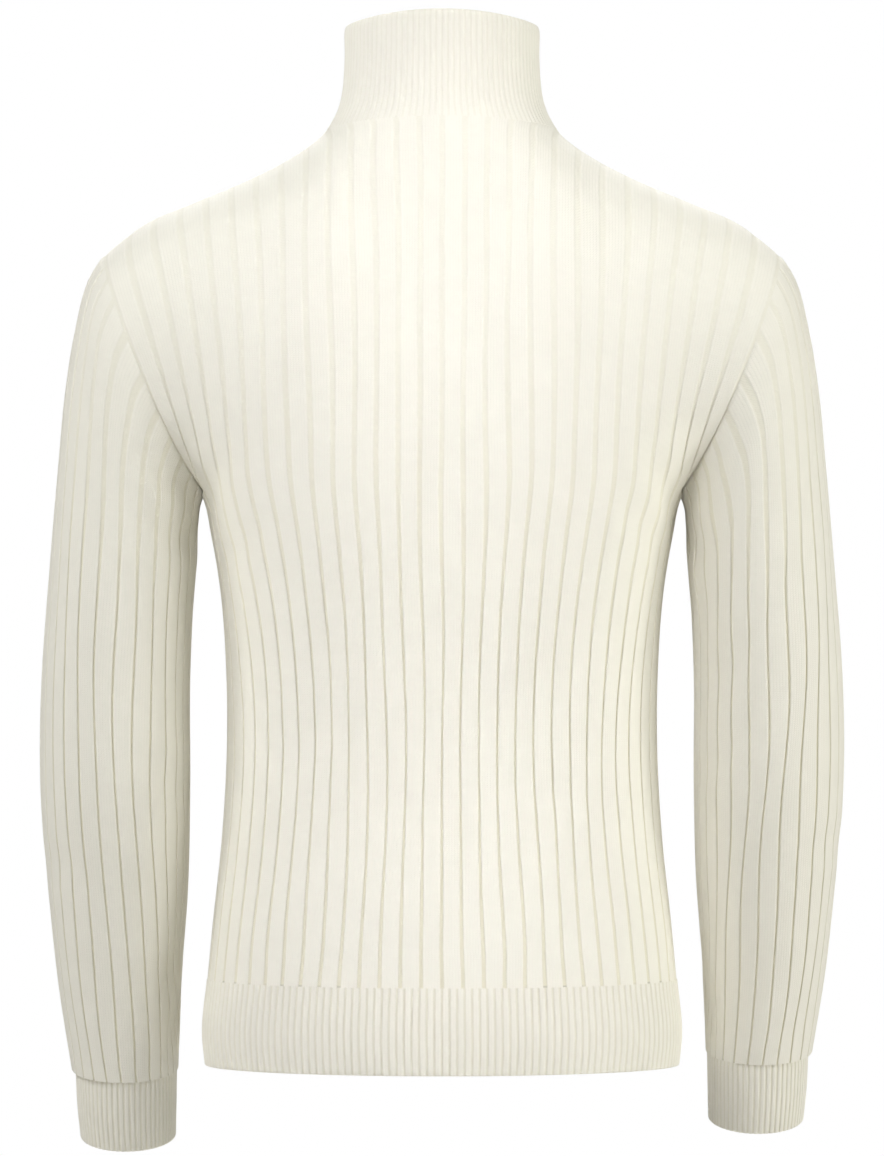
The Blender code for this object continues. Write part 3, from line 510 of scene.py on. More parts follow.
def shell(name, inside, outside, plain, knit, keep=None, closed=False):
    """A closed shell of cloth. `plain` lists the columns that the inside uses, `knit` holds the
    rib number of each column and the run along each point, and `keep` says for each row and each
    block between two plain columns whether there is cloth."""
    ribs, run = knit
    rows, count = outside.shape[:2]
    blocks = len(plain) if closed else len(plain) - 1
    ribs_round = ribs[-1] + 1 - ribs[-1] % 1 if closed else 0
    points, known, faces, places, smooth_faces = [], {}, [], [], []

    def add(corners, is_smooth=False):
        """Adds a face through (outer, row, column) corners."""
        face = []
        for outer, row, place in corners:
            spot = (row, place % count)
            if (outer, *spot) not in known:
                known[(outer, *spot)] = len(points)
                points.append((outside if outer else inside)[spot])
            face.append(known[(outer, *spot)])
            places.append((ribs[spot[1]] + (ribs_round if place >= count else 0), run[spot]))
        faces.append(face)
        smooth_faces.append(is_smooth)

    def cloth(row, block):
        if not 0 <= row < rows - 1:
            return False
        if closed:
            block = block % blocks
        elif not 0 <= block < blocks:
            return False
        return keep is None or keep(row, block)

    for row in range(rows - 1):
        after = row + 1
        for block in range(blocks):
            if not cloth(row, block):
                continue
            first = plain[block]
            last = plain[(block + 1) % len(plain)]
            if last <= first:
                last += count
            for place in range(first, last):
                add([(True, row, place), (True, row, place + 1),
                     (True, after, place + 1), (True, after, place)], True)
            add([(False, after, first), (False, after, last),
                 (False, row, last), (False, row, first)], True)
            if not cloth(row - 1, block):
                edge = [(True, row, place) for place in range(last, first - 1, -1)]
                add(edge + [(False, row, first), (False, row, last)])
            if not cloth(after, block):
                edge = [(True, after, place) for place in range(first, last + 1)]
                add(edge + [(False, after, last), (False, after, first)])
            for place, beside, low, high in ((first, block - 1, row, after),
                                             (last, block + 1, after, row)):
                if not cloth(row, beside):
                    add([(True, low, place), (True, high, place),
                         (False, high, place), (False, low, place)])
    return new_mesh(name, points, faces, places, smooth_faces)


def level_seam(inside, way, row, rise):
    """Moves a seam's row by its share of the gap, and turns its thickness level."""
    inside[row, :, 2] += rise
    way[row, :, 2] = 0
    way[row] = unit(way[row])


def turned(way, goal, away, reach):
    """Outward directions turned to a seam's own within `reach` of it."""
    blend = (1 - ramp(away / reach))[:, None, None]
    return unit(way * (1 - blend) + goal * blend)


def cloth_tube(name, knots, run, inside, outside, ribs_a_block, side=1, closed=False):
    """A shell with a column of its inside at every so many ribs, mirrored to its own side."""
    plain = [place for place, knot in enumerate(knots / ribs_a_block)
             if abs(knot - round(knot)) < 1e-6]
    mirror = np.array([side, 1, 1])
    return shell(name, inside * mirror, outside * mirror, plain, (knots, run), closed=closed)


def columns_of(steps, low, high, extra=()):
    """Rib numbers of the outside's columns from rib `low` to rib `high`."""
    knots = {round(rib + step, 6) for rib in range(low, high) for step in steps}
    knots |= {float(high)} | set(extra)
    return np.array(sorted(knots))


def place_of(ribs, rib):
    return int(np.argmin(np.abs(ribs - rib)))


# ---------------------------------------------------------------- body panels

def armhole_plane():
    cap = sizes(SLEEVE_COLUMNS, SLEEVE[0])
    low = np.array([cap["x_in"], 0, cap["z_in"]])
    high = np.array([cap["x_out"], 0, cap["z_out"]])
    up = unit(high - low)
    return np.array([up[2], 0, -up[0]])


def loop_mitres(loop, out):
    ahead = np.roll(loop, -1, axis=0) - np.roll(loop, 1, axis=0)
    side = unit(np.cross(ahead, out))
    return side * np.sign(np.sum(side * (loop - loop.mean(axis=0)), axis=1, keepdims=True))


def armhole_loop(under_ribs):
    """The armhole seam at +X: from the underarm up the back, over the shoulder, down the front."""
    halves = []
    for back in (True, False):
        under = body_section(back, ARMPIT * MM, under_ribs)
        rise = [yoke_row(back, share, np.array([float(ARM_RIB)]))[0] for share in YOKE_SHARES]
        halves.append(np.vstack([under, rise]))
    return np.vstack([halves[0], halves[1][::-1][1:-1]])


def neck_mitre(points):
    away = unit(points * np.array([1, 1, 0]))
    away[:, 2] = NECK_LEAN + NECK_SIDE_LEAN * away[:, 0] ** 2
    return unit(away)


def neck_fill(out, away):
    """How far points move to fill the corner at the neck seam, from the seam's outward direction
    beside them and their distance to it."""
    fill = NECK_FILL + SIDE_FILL * out[..., 0] ** 2
    return out * (fill * np.clip(1 - away / FILL_REACH, 0, 1) ** 2)[..., None]


def panel_surface(back):
    """A body panel's rib numbers, inside points, row at the armpits, and pitch at each point."""
    name = "back" if back else "front"
    ribs = columns_of(WIDE_STEPS, -SIDE_RIB, SIDE_RIB, () if back else (-SLIT_RIB, SLIT_RIB))
    levels = BODY_FOOT * MM + edge_rows((ARMPIT - BODY_FOOT) * MM, ROW_STEP, first=True)
    calm = ramp((SIDE_RIB - np.abs(ribs)) / 2)
    whole = np.arange(-SIDE_RIB, SIDE_RIB + 1.0)
    inner = np.arange(-ARM_RIB, ARM_RIB + 1.0)
    lower, pitches = [], []
    for height in levels:
        run = height - levels[0]
        pitch = pitch_along(body_section(back, height, whole), whole, ribs)
        moved = wander(name, opened(ribs, pitch), run, calm * ramp(run / 0.03))
        lower.append(body_section(back, height, moved))
        pitches.append(pitch)
    arm_calm = ramp((ARM_RIB - np.abs(ribs)) / 2) * ramp(np.abs(np.abs(ribs) - SLIT_RIB) / 0.6)
    upper = []
    for share in YOKE_SHARES:
        run = levels[-1] - levels[0] + YOKE_RUN * share
        steady = calm * (1 - ramp(share / 0.1)) + arm_calm * ramp(share / 0.1)
        pitch = pitch_along(yoke_row(back, share, inner), inner, ribs)
        moved = np.where(np.abs(ribs) > ARM_RIB, ribs, opened(ribs, pitch))
        if not back and share >= SLIT_SHARE:
            moved = np.where(np.abs(ribs) < SLIT_RIB + 0.001, ribs, moved)
        moved = wander(name, moved, run, steady * ramp((1 - share) / 0.2))
        upper.append(yoke_row(back, share, moved))
        pitches.append(pitch)
    del pitches[len(levels)]
    grid = np.concatenate([np.array(lower), np.array(upper)[1:]])
    joint = len(levels) - 1

    # The change from the lower body to the yoke is eased, away from the armholes
    ease = ramp((ARM_RIB - 0.5 - np.abs(ribs)) / 2)[:, None]
    eased = grid[joint - JOINT_ROWS - 1:joint + JOINT_ROWS + 2]
    for _ in range(JOINT_PASSES):
        eased[1:-1] += ease * ((eased[:-2] + eased[2:]) / 2 - eased[1:-1]) * 0.5
    return ribs, grid, joint, np.array(pitches)


def body_panel(back):
    name = "back" if back else "front"
    ribs, inside, joint, pitches = panel_surface(back)
    slit_row = joint + SLIT_STEPS
    outward = 1 if back else -1
    side = np.sign(ribs)
    number = np.abs(ribs)
    half_gap = SEAM_GAP / 2
    top = len(inside) - 1
    neck_line = neck_seam_line()
    gaps = np.linalg.norm(inside[-NECK_ROWS:, :, None] - neck_line, axis=3)
    away = gaps.min(axis=2)
    away[-1, number <= NECK_RIB] = 0
    inside[-NECK_ROWS:] += neck_fill(neck_mitre(neck_line)[gaps.argmin(axis=2)], away)
    neck_away = np.full(inside.shape[:2], FAR)
    neck_away[-NECK_ROWS:] = away
    way = directions(inside) * -outward
    arm_out = armhole_plane()
    run = run_lengths(inside)

    # Armhole: the thickness turns into the plane of the seam
    under = ribs[(ribs > ARM_RIB) & (ribs <= SIDE_RIB)][::-1]
    loop = armhole_loop(under)
    mitres = loop_mitres(loop, arm_out)
    if not back:
        mitres = np.concatenate([mitres[:1], mitres[1:][::-1]])
    for sign in (1, -1):
        mirror = np.array([sign, 1, 1])
        for step, rib in enumerate(under):
            place = place_of(ribs, sign * rib)
            way[joint, place] = mitres[step] * mirror
            inside[joint, place] -= arm_out * mirror * half_gap
        edge = place_of(ribs, sign * ARM_RIB)
        rim = mitres[len(under):len(under) + len(YOKE_SHARES)] * mirror
        for place in np.flatnonzero((ribs * sign > ARM_RIB - 1) & (ribs * sign <= ARM_RIB)):
            blend = ramp(1 - (ARM_RIB - number[place]))
            way[joint:, place] = unit(way[joint:, place] * (1 - blend) + rim * blend)
        inside[joint:, edge] -= arm_out * mirror * half_gap

    # Side seams, shoulder seams, hem seam and neck seam
    for place in (0, len(ribs) - 1):
        inside[:joint + 1, place, 1] += outward * half_gap
        way[:joint, place] = (side[place], 0, 0)
    neck = number <= NECK_RIB
    shoulder = (number >= NECK_RIB) & (number <= ARM_RIB)
    inside[top, shoulder, 1] += outward * half_gap
    along_top = np.gradient(inside[top], axis=0)
    ridge = unit(np.stack([-along_top[:, 2], 0 * ribs, along_top[:, 0]], axis=1))
    flat = (number > NECK_RIB) & (number < ARM_RIB)
    way[top, flat] = ridge[flat]
    way[top - 1, flat] = unit(way[top - 1, flat] + ridge[flat] * 0.5)
    way[top, neck] = neck_mitre(inside[top, neck])
    inside[top, neck, 2] -= NECK_GAP / 2
    level_seam(inside, way, 0, half_gap)

    # Ribs fade out at the top, and the cloth thins a little beside each sewn seam
    rows = np.arange(len(inside))[:, None]
    high_run = run[-1] - run
    rib_fade = ramp(np.minimum(high_run, neck_away) / (2 * TOP_FADE))
    arm_away = np.where((rows >= joint) & (number <= ARM_RIB), (ARM_RIB - number) * YOKE_PITCH, FAR)
    under_away = np.where(number > ARM_RIB, np.abs(run[joint] - run), FAR)
    side_away = (SIDE_RIB - number) * BODY_PITCH
    top_away = np.where(number > NECK_RIB, high_run, FAR)
    seam = np.minimum(np.minimum(arm_away, under_away), np.minimum(side_away, top_away))
    thin = thinning(seam, SEAM_THIN, SEAM_REACH)
    if not back:
        slit_away = np.where(rows >= slit_row, np.abs(number - SLIT_RIB) * YOKE_PITCH, FAR)
        seam = np.minimum(seam, slit_away)
        thin = thin * thinning(slit_away, FOLD_THIN, SEAM_REACH)
    relief = wide_relief(ribs) * rib_fade * rib_stand(pitches) + TOP_LEVEL * (1 - rib_fade)
    thick = (CLOTH + RIB_HEIGHT * relief) * thin
    free = np.minimum(seam, np.minimum(run, high_run))
    sink = crease_depth(name, ribs, run, BODY_PITCH) * ramp(free / CREASE_FADE)
    inside = inside - way * sink[:, :, None]
    outside = inside + way * thick[:, :, None]

    for sign in (1, -1):
        away = arm_out * np.array([sign, 1, 1])
        edge = inside[joint:, place_of(ribs, sign * ARM_RIB)]
        for place in np.flatnonzero((ribs * sign > ARM_RIB - 1.3) & (ribs * sign < ARM_RIB)):
            past = (outside[joint:, place] - edge) @ away + half_gap
            outside[joint:, place] -= np.clip(past, 0, None)[:, None] * away

    corners = [float(rib) for rib in range(-SIDE_RIB, SIDE_RIB + 1)]
    if not back:
        corners.remove(0.0)
        corners += [-SLIT_RIB, SLIT_RIB]
    plain = sorted(place_of(ribs, rib) for rib in corners)

    def keep(row, block):
        middle = (ribs[plain[block]] + ribs[plain[block + 1]]) / 2
        if row >= joint and abs(middle) > ARM_RIB:
            return False
        return back or row < slit_row or abs(middle) > SLIT_RIB / 2

    thing = shell(name, inside, outside, plain, (ribs, run), keep)
    return thing, (ribs, inside, outside, slit_row)


# ---------------------------------------------------------------- sleeves and cuffs

def sleeve_curve(section, shorter):
    size = sizes(SLEEVE_COLUMNS, section)
    wall = CLOTH + RIB_HEIGHT
    depth_down = -size["z_in"] / MM
    share = np.clip((depth_down - SHORTER_FROM) / (SHORTER_WHOLE - SHORTER_FROM), 0, 1)
    stretch = 1 - shorter * share / depth_down
    out = np.array([size["x_out"] - wall, size["back"], size["z_out"] * stretch])
    inner = np.array([size["x_in"] + wall, size["back"], size["z_in"] * stretch])
    turn = np.linspace(math.pi, -math.pi, SAMPLES)[:, None]
    depth = np.array([0, size["half_depth"] - wall, -size["drop"]])
    return (out + inner) / 2 + np.cos(turn) * (out - inner) / 2 + np.sin(turn) * depth


def spread_round(curve, shares, keep):
    """Points round a curve, closer together at the underarm where `keep` is less than 1."""
    plan = np.linalg.norm(np.diff(curve[:, :2], axis=0), axis=1)
    place = (np.cumsum(plan) - plan / 2) / plan.sum()
    near = np.minimum(place, 1 - place) / UNDERARM_REACH
    width = keep + (1 - keep) * np.clip(near, 0, 1)
    return along(curve, shares, plan / width)


def tube_grid(side, knots, ribs, table, name=None, loop=None, step=ROW_STEP, last=False):
    """Inside points of a sleeve or cuff at +X, by row and rib, lofted through its sections."""
    shorter = 0 if side > 0 else RIGHT_SLEEVE_SHORTER
    keep = SLEEVE_COLUMNS.index("keep")
    coarse = np.array([spread_round(sleeve_curve(row, shorter), knots / ribs, row[keep])
                       for row in table])
    reach = run_along(coarse.mean(axis=1))
    rows = edge_rows(reach[-1], step, first=not last, last=last)
    grid = smooth(reach, coarse, rows)
    pitches = []
    if name:
        calm = ramp(np.minimum(knots, ribs - knots) / 1.5)
        source = np.append(knots, ribs)
        whole = np.arange(ribs + 1.0)
        for number, run in enumerate(rows):
            steady = calm * ramp(run / 0.05) * ramp((reach[-1] - run) / 0.03)
            ring = np.vstack([grid[number], grid[number][:1]])
            pitch = pitch_along(read_line(source, ring, whole), whole, knots)
            grid[number] = read_line(source, ring, wander(name, opened(knots, pitch), run, steady))
            pitches.append(pitch)
    if loop is not None:
        change = spread_round(np.vstack([loop, loop[:1]]), knots / ribs, 1.0) - coarse[0]
        fade = smooth(reach[:len(FADE)], np.array(FADE), np.minimum(rows, reach[len(FADE) - 1]))
        grid += fade[:, None, None] * change[None]
    return grid, rows, np.array(pitches)


def sleeve(side):
    name = "sleeve_left" if side > 0 else "sleeve_right"
    knots = columns_of(WIDE_STEPS, 0, SLEEVE_RIBS)[:-1]
    panel = columns_of(WIDE_STEPS, -SIDE_RIB, SIDE_RIB)
    loop = armhole_loop(panel[panel > ARM_RIB][::-1])
    inside, rows, pitches = tube_grid(side, knots, SLEEVE_RIBS, SLEEVE, name, loop)
    arm_out = armhole_plane()
    way = turned(directions(inside, closed=True), loop_mitres(inside[0], arm_out), rows, CAP_TURN)
    inside[0] += arm_out * SEAM_GAP / 2
    level_seam(inside, way, -1, SEAM_GAP / 2)
    run = run_lengths(inside)
    ends = run[-1] - run
    relief = wide_relief(knots) * ramp((run + CAP_START) / TOP_FADE) * rib_stand(pitches)
    thick = (CLOTH + RIB_HEIGHT * relief) * thinning(run, SEAM_THIN, SEAM_REACH)
    sink = crease_depth(name, knots, run, SLEEVE_PITCH) * ramp(np.minimum(run, ends) / CREASE_FADE)
    inside = inside - way * sink[:, :, None]
    outside = inside + way * thick[:, :, None]
    return cloth_tube(name, knots, ends, inside, outside, 1, side, closed=True)


def fine_thickness(knots, run, cloth, height, start, reach):
    """A fine-rib wall's thickness: `start` at its seam, rounded at its free edge."""
    grown = ramp(run / reach)
    free_run = run[-1] - run
    round_edge = np.sqrt(1 - (1 - np.clip(free_run / EDGE_ROUND, 0, 1)) ** 2)
    thick = start + (cloth - start) * grown + fine_relief(knots) * height
    return thick * (EDGE_THIN + (1 - EDGE_THIN) * round_edge)


def welt(name, knots, inside, way, start, side=1, closed=False):
    """A cuff or hem under its seam, where its cloth is `start` thick."""
    level_seam(inside, way, 0, -SEAM_GAP / 2)
    run = run_lengths(inside)
    thick = fine_thickness(knots, run, WELT_CLOTH, FINE_HEIGHT, start, FINE_STEP)
    outside = inside + way * thick[:, :, None]
    return cloth_tube(name, knots, run, inside, outside, RIBS_A_BLOCK, side, closed)


def cuff(side):
    name = "cuff_left" if side > 0 else "cuff_right"
    knots = columns_of(FINE_STEPS, 0, CUFF_RIBS)[:-1]
    inside, _, _ = tube_grid(side, knots, CUFF_RIBS, CUFF, step=FINE_STEP, last=True)
    way = directions(inside, closed=True)
    return welt(name, knots, inside, way, WELT_CLOTH - CUFF_STEP, side, closed=True)


# ---------------------------------------------------------------- hem and collar

def hem_panel(back):
    name = "hem_back" if back else "hem_front"
    knots = columns_of(FINE_STEPS, 0, HEM_RIBS)
    outward = 1 if back else -1
    wall = WELT_CLOTH + FINE_HEIGHT
    turn = np.linspace(-math.pi / 2, math.pi / 2, SAMPLES)
    coarse = []
    for row in HEM:
        size = sizes(HEM_COLUMNS, row)
        depth = size["back" if back else "front"] - wall
        line = np.stack([(size["half_width"] - wall) * np.sin(turn), outward * depth * np.cos(turn),
                         np.full_like(turn, size["height"])], axis=1)
        coarse.append(along(line, knots / HEM_RIBS))
    heights = column(HEM, HEM_COLUMNS, "height")
    rows = edge_rows(heights[0] - heights[-1], FINE_STEP, last=True)
    inside = smooth(heights[0] - heights, np.array(coarse), rows)
    way = directions(inside) * outward
    for place, sign in ((0, -1), (-1, 1)):
        inside[:, place, 1] += outward * SEAM_GAP / 2
        way[:, place] = (sign, 0, 0)
    return welt(name, knots, inside, way, WELT_CLOTH)


def neck_seam_line():
    """The neck seam from the slit's edge at +X round the back to the slit's edge at -X."""
    start = math.asin(SLIT_RIB / NECK_RIB)
    quarter = shoulder_line(False, NECK_RIB * np.sin(np.linspace(start, math.pi / 2, 120)))
    half_back = shoulder_line(True, NECK_RIB * np.sin(np.linspace(math.pi / 2, -math.pi / 2, 241)))
    mirrored = quarter[::-1] * np.array([-1, 1, 1])
    return np.vstack([quarter, half_back[1:-1], mirrored])


def collar_ring(ring):
    half_width = ring[0] * MM
    start = math.asin(SLIT_HALF / half_width)
    quarter = half_width * np.sin(np.linspace(start, math.pi / 2, SAMPLES // 2))
    front = ring_point(ring, quarter, False)
    half = half_width * np.sin(np.linspace(math.pi / 2, -math.pi / 2, SAMPLES))
    back = ring_point(ring, half, True)
    return np.vstack([front, back[1:-1], (front * np.array([-1, 1, 1]))[::-1]])


def collar():
    knots = columns_of(FINE_STEPS, 0, COLLAR_RIBS)
    lines = [neck_seam_line()] + [collar_ring(ring) for ring in NECK[1:]]
    coarse = np.array([along(line, knots / COLLAR_RIBS) for line in lines])
    reach = run_lengths(coarse).mean(axis=1)
    rows = edge_rows(reach[-1], FINE_STEP, last=True)
    inside = smooth(reach, coarse, rows)
    inside = inside + neck_fill(neck_mitre(inside[0]), run_lengths(inside))
    way = directions(inside)
    middle = inside.mean(axis=1, keepdims=True)
    way = way * np.sign(np.sum(way * (inside - middle), axis=2).mean())
    way = turned(way, neck_mitre(inside[0]), rows, COLLAR_TURN)
    inside[0, :, 2] += NECK_GAP / 2
    way[:, [0, -1]] = (0, -1, 0)
    lean = COLLAR_LEAN * np.clip(1 - (rows[-1] - rows) / LEAN_REACH, 0, 1) ** 2
    inside = inside - way * lean[:, None, None]
    run = run_lengths(inside)
    thick = fine_thickness(knots, run, COLLAR_CLOTH, COLLAR_HEIGHT * ramp(run / COLLAR_RISE),
                           CLOTH + TOP_LEVEL * RIB_HEIGHT, COLLAR_SWELL)
    slit_away = np.minimum(knots, COLLAR_RIBS - knots) * COLLAR_PITCH
    thick = thick * thinning(slit_away, COLLAR_FOLD_THIN, COLLAR_FOLD_REACH)
    outside = inside + way * thick[:, :, None]
    return cloth_tube("collar", knots, run, inside, outside, RIBS_A_BLOCK), (knots, inside, outside)


# ---------------------------------------------------------------- half zip

TAPE_REACH = 8.5 * MM
TAPE_BEHIND = 0.5 * MM
TAPE_APART = 0.6 * MM
CHAIN_FOOT = -0.2 * MM   # above the cloth's inside
CHAIN_THICK = 1.6 * MM
CHAIN_SHORT = 2.0 * MM
TOOTH_PITCH = 1.7 * MM
TOOTH = (3.1 * MM, 1.15 * MM, 1.5 * MM)  # across, along and out
TOOTH_PAST = 0.35 * MM   # how far a tooth's head passes the middle
SLIDER_THICK = 2.4 * MM
TUNNEL_HEIGHT = 3.0 * MM
STITCH_PITCH = 3.3 * MM
STITCH_LENGTH = 2.3 * MM
STITCH_THICK = 0.55 * MM
STITCH_IN = 5.0 * MM    # from the slit's edge to the line of stitches

# The tape's section: share of its width, and height above its face in millimetres
TAPE_SECTION = ((0, 0.2), (0.16, 0.2), (0.2, 0), (0.5, 0), (0.93, 0), (1, -0.2),
                (1, -1), (0.93, -1), (0.5, -1), (0.2, -1), (0.16, -1), (0, -1))
# Half of a tooth's outline, in shares of its size: a foot on the tape, a waist, and a head that
# passes the middle
TOOTH_HALF = ((1.0, 0.50), (0.62, 0.50), (0.50, 0.34), (0.36, 0.34), (0.22, 0.46), (0.06, 0.36))
TOOTH_LAYERS = ((0.0, 1.0), (0.72, 1.0), (1.0, 0.72))  # height and size
STOP_LAYERS = ((0.0, 1.0), (0.8, 1.0), (1.0, 0.8))
STOP_HALF = (2.3 * MM, 1.3 * MM)  # half the bottom stop, across and along
# The slider's half outline, in millimetres across and up from the hinge
SLIDER_HALF = ((3.0, -4.75), (3.9, -3.55), (4.1, -0.75), (3.7, 2.25),
               (4.4, 4.35), (4.5, 6.15), (3.9, 7.25), (2.4, 7.75))
# The bridge's section, in millimetres across and off its path
BRIDGE_SECTION = ((1.45, 0.2), (1.2, 0.5), (-1.2, 0.5), (-1.45, 0.2),
                  (-1.45, -0.3), (-1.2, -0.5), (1.2, -0.5), (1.45, -0.3))
BRIDGE_STEPS = 24
# A stitch's rings: place along it, thickness and lift
STITCH_RINGS = ((-0.5, 0.25, -0.35), (-0.34, 0.85, 0.05), (0.0, 1.0, 0.25), (0.34, 0.85, 0.05),
                (0.5, 0.25, -0.35))
STITCH_SIDES = 6


def slit_line(front, band):
    """The slit's edge at +X on the cloth's inside, from its foot to the collar's top, with the
    directions in behind the cloth and out of it."""
    ribs, inside, _, slit_row = front
    knots, collar_inside, _ = band
    edge = np.vstack([inside[slit_row:-1, place_of(ribs, SLIT_RIB)], collar_inside[:, 0]])
    beyond = np.vstack([inside[slit_row:-1, place_of(ribs, 1.0)],
                        collar_inside[:, place_of(knots, 3.0)]])
    behind = unit(beyond - edge)
    out = unit(np.cross(behind, line_directions(edge)))
    out *= -np.sign(out[:, 1:2])
    for _ in range(6):
        out[1:-1] = unit(out[:-2] + out[1:-1] + out[2:])
        behind[1:-1] = unit(behind[:-2] + behind[1:-1] + behind[2:])
    return edge, behind, out


def add_loft(shape, rings, ring_shaped=False):
    """Adds a closed form through rings of points to a shape of (points, faces): capped at both
    ends, or with its last ring joined to its first."""
    points, faces = shape
    base, count = len(points), len(rings[0])
    for ring in rings:
        points.extend(ring)
    last = len(points) - count
    starts = list(range(base, last + 1, count))
    if ring_shaped:
        starts.append(base)
    for start, after in zip(starts, starts[1:]):
        for corner in range(count):
            ahead = (corner + 1) % count
            faces.append([start + corner, start + ahead, after + ahead, after + corner])
    if not ring_shaped:
        faces.append(list(range(base, base + count))[::-1])
        faces.append(list(range(last, last + count)))


def zip_tape(name, side, line):
    edge, behind, out = line
    mirror = np.array([side, 1, 1])
    first = TAPE_APART - SLIT_HALF
    across = [first + (TAPE_REACH - first) * share for share, _ in TAPE_SECTION]
    rings, knit = [], []
    for point, back, up, run in zip(edge, behind, out, run_along(edge)):
        rings.append([(point + back * reach + up * (lift * MM - TAPE_BEHIND)) * mirror
                      for reach, (_, lift) in zip(across, TAPE_SECTION)])
        knit += [(reach, run) for reach in across]
    shape = ([], [])
    add_loft(shape, rings)
    places = [knit[corner] for face in shape[1] for corner in face]
    return new_mesh(name, *shape, places)


def zip_chain(line):
    """Two rows of teeth that pass each other at the middle, over a bottom stop."""
    edge, behind, out = line
    centre = edge - behind * SLIT_HALF
    centre[:, 0] = 0
    out = unit(out * np.array([0, 1, 1]))
    up = line_directions(centre)
    run = run_along(centre)
    wide, tall, deep = TOOTH
    outline = TOOTH_HALF + tuple((across, -rise) for across, rise in TOOTH_HALF[::-1])
    shape = ([], [])
    end = run[-1] - CHAIN_SHORT - TOOTH_PITCH / 2
    for number, place in enumerate(np.arange(CHAIN_SHORT + TOOTH_PITCH, end, TOOTH_PITCH)):
        side = np.array([1 if number % 2 else -1, 0, 0])
        point, normal, rise = (read_line(run, source, place) for source in (centre, out, up))
        normal, rise = unit(normal), unit(rise)
        foot = point + normal * CHAIN_FOOT
        rings = []
        for height, grow in TOOTH_LAYERS:
            width = wide * (0.9 + 0.1 * grow)
            middle = wide * 0.5 - TOOTH_PAST
            rings.append([foot + side * (middle + (across - 0.5) * width) + normal * deep * height
                          + rise * tall * along_it * grow for across, along_it in outline])
        add_loft(shape, rings)
    foot = centre[0] + up[0] * CHAIN_SHORT * 0.9
    rings = []
    for height, grow in STOP_LAYERS:
        level = foot + out[0] * (CHAIN_FOOT + CHAIN_THICK * height)
        half, tall = np.array([STOP_HALF[0] * grow, 0, 0]), up[0] * STOP_HALF[1] * grow
        rings.append([level + half + tall, level - half + tall,
                      level - half - tall, level + half - tall])
    add_loft(shape, rings)
    return new_mesh("zip_chain", *shape)


def rounded_outline(width, low, high, top_radius, low_radius, steps=8):
    """A closed outline with rounded corners, in the plane across the zip. Sizes in millimetres."""
    corners = ((1, high, -top_radius), (-1, high, -top_radius),
               (-1, low, low_radius), (1, low, low_radius))
    points = []
    for quarter, (sign, end, inward) in enumerate(corners):
        radius = abs(inward)
        for step in range(steps + 1):
            turn = math.pi / 2 * (quarter + step / steps)
            points.append((sign * (width / 2 - radius) + radius * math.cos(turn),
                           end + inward + radius * math.sin(turn)))
    return np.array(points) * MM


def outline_rings(outline, layers, to_world, inward=1):
    """An outline's rings at (out, shrink) layers."""
    outline = np.array(outline)
    direction = unit(outline - outline.mean(axis=0)) * inward
    return [[to_world((x, out, z)) for x, z in outline - direction * shrink]
            for out, shrink in layers]


def add_frame(shape, outline, hole, layers, to_world):
    """Adds a plate with a hole, lofted from both outlines."""
    outer = outline_rings(outline, layers, to_world)
    inner = outline_rings(hole, layers, to_world, inward=-1)
    add_loft(shape, outer + inner[::-1], ring_shaped=True)


def hinge_to_world():
    """Turns a point of the pull's own frame into the row frame, from the joint in the record."""
    origin = np.array(frame["joints"][0]["pos_m"])
    low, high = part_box("zip_pull")
    lean = math.atan2((low[1] + high[1]) / 2 - origin[1], origin[2] - (low[2] + high[2]) / 2)
    up = np.array([0, -math.sin(lean), math.cos(lean)])
    out = np.array([0, -up[2], up[1]])

    def to_world(point):
        x, depth, height = point
        return origin + np.array([x, 0, 0]) - out * depth + up * height

    return to_world


def zip_slider(to_world):
    """The slider: a waisted upper plate with flanged sides, and a bridge over the pull."""
    face = TUNNEL_HEIGHT / 2
    outline = [(x * MM, z * MM) for x, z in SLIDER_HALF]
    outline += [(-x, z) for x, z in reversed(outline)]
    layers = ((face + SLIDER_THICK, 0.3 * MM), (face + SLIDER_THICK - 0.4 * MM, 0),
              (face + 0.5 * MM, 0), (face + 0.15 * MM, 0.25 * MM), (face, 0.7 * MM))
    shape = ([], [])
    add_loft(shape, outline_rings(outline, layers, to_world))
    turn = np.linspace(0, math.pi, BRIDGE_STEPS + 1)
    rise = np.sin(turn).clip(0) ** 0.6
    path = np.stack([face + 0.3 * MM - (TUNNEL_HEIGHT + 0.5 * MM) * rise,
                     1.5 * MM - 3.7 * MM * np.cos(turn)], axis=1)
    last = len(path) - 1
    rings = []
    for number, (depth, height) in enumerate(path):
        ahead = unit(path[min(number + 1, last)] - path[max(number - 1, 0)])
        rings.append([to_world((x * MM, depth + ahead[1] * off * MM, height - ahead[0] * off * MM))
                      for x, off in BRIDGE_SECTION])
    add_loft(shape, rings)
    return new_mesh("zip_slider", *shape)


def zip_pull(to_world):
    """The pull: a rounded tab with a raised rim, hung by a slot round the bridge's bar."""
    face = 0.8 * MM
    shape = ([], [])
    add_frame(shape, rounded_outline(8.0, -27.0, 0.8, 1.6, 3.2),
              rounded_outline(4.4, -9.6, -0.8, 0.8, 1.8),
              ((face, 0.35 * MM), (0.45 * MM, 0), (-0.45 * MM, 0), (-face, 0.35 * MM)), to_world)
    for sign in (-1, 1):
        layers = [(sign * (face + lift * MM), shrink * MM)
                  for lift, shrink in ((-0.1, 0), (0.05, 0.05), (0.12, 0.2))]
        add_frame(shape, rounded_outline(6.2, -25.6, -12.2, 1.4, 2.5),
                  rounded_outline(4.6, -24.8, -13.0, 0.9, 1.9), layers, to_world)
    return new_mesh("zip_pull", *shape)


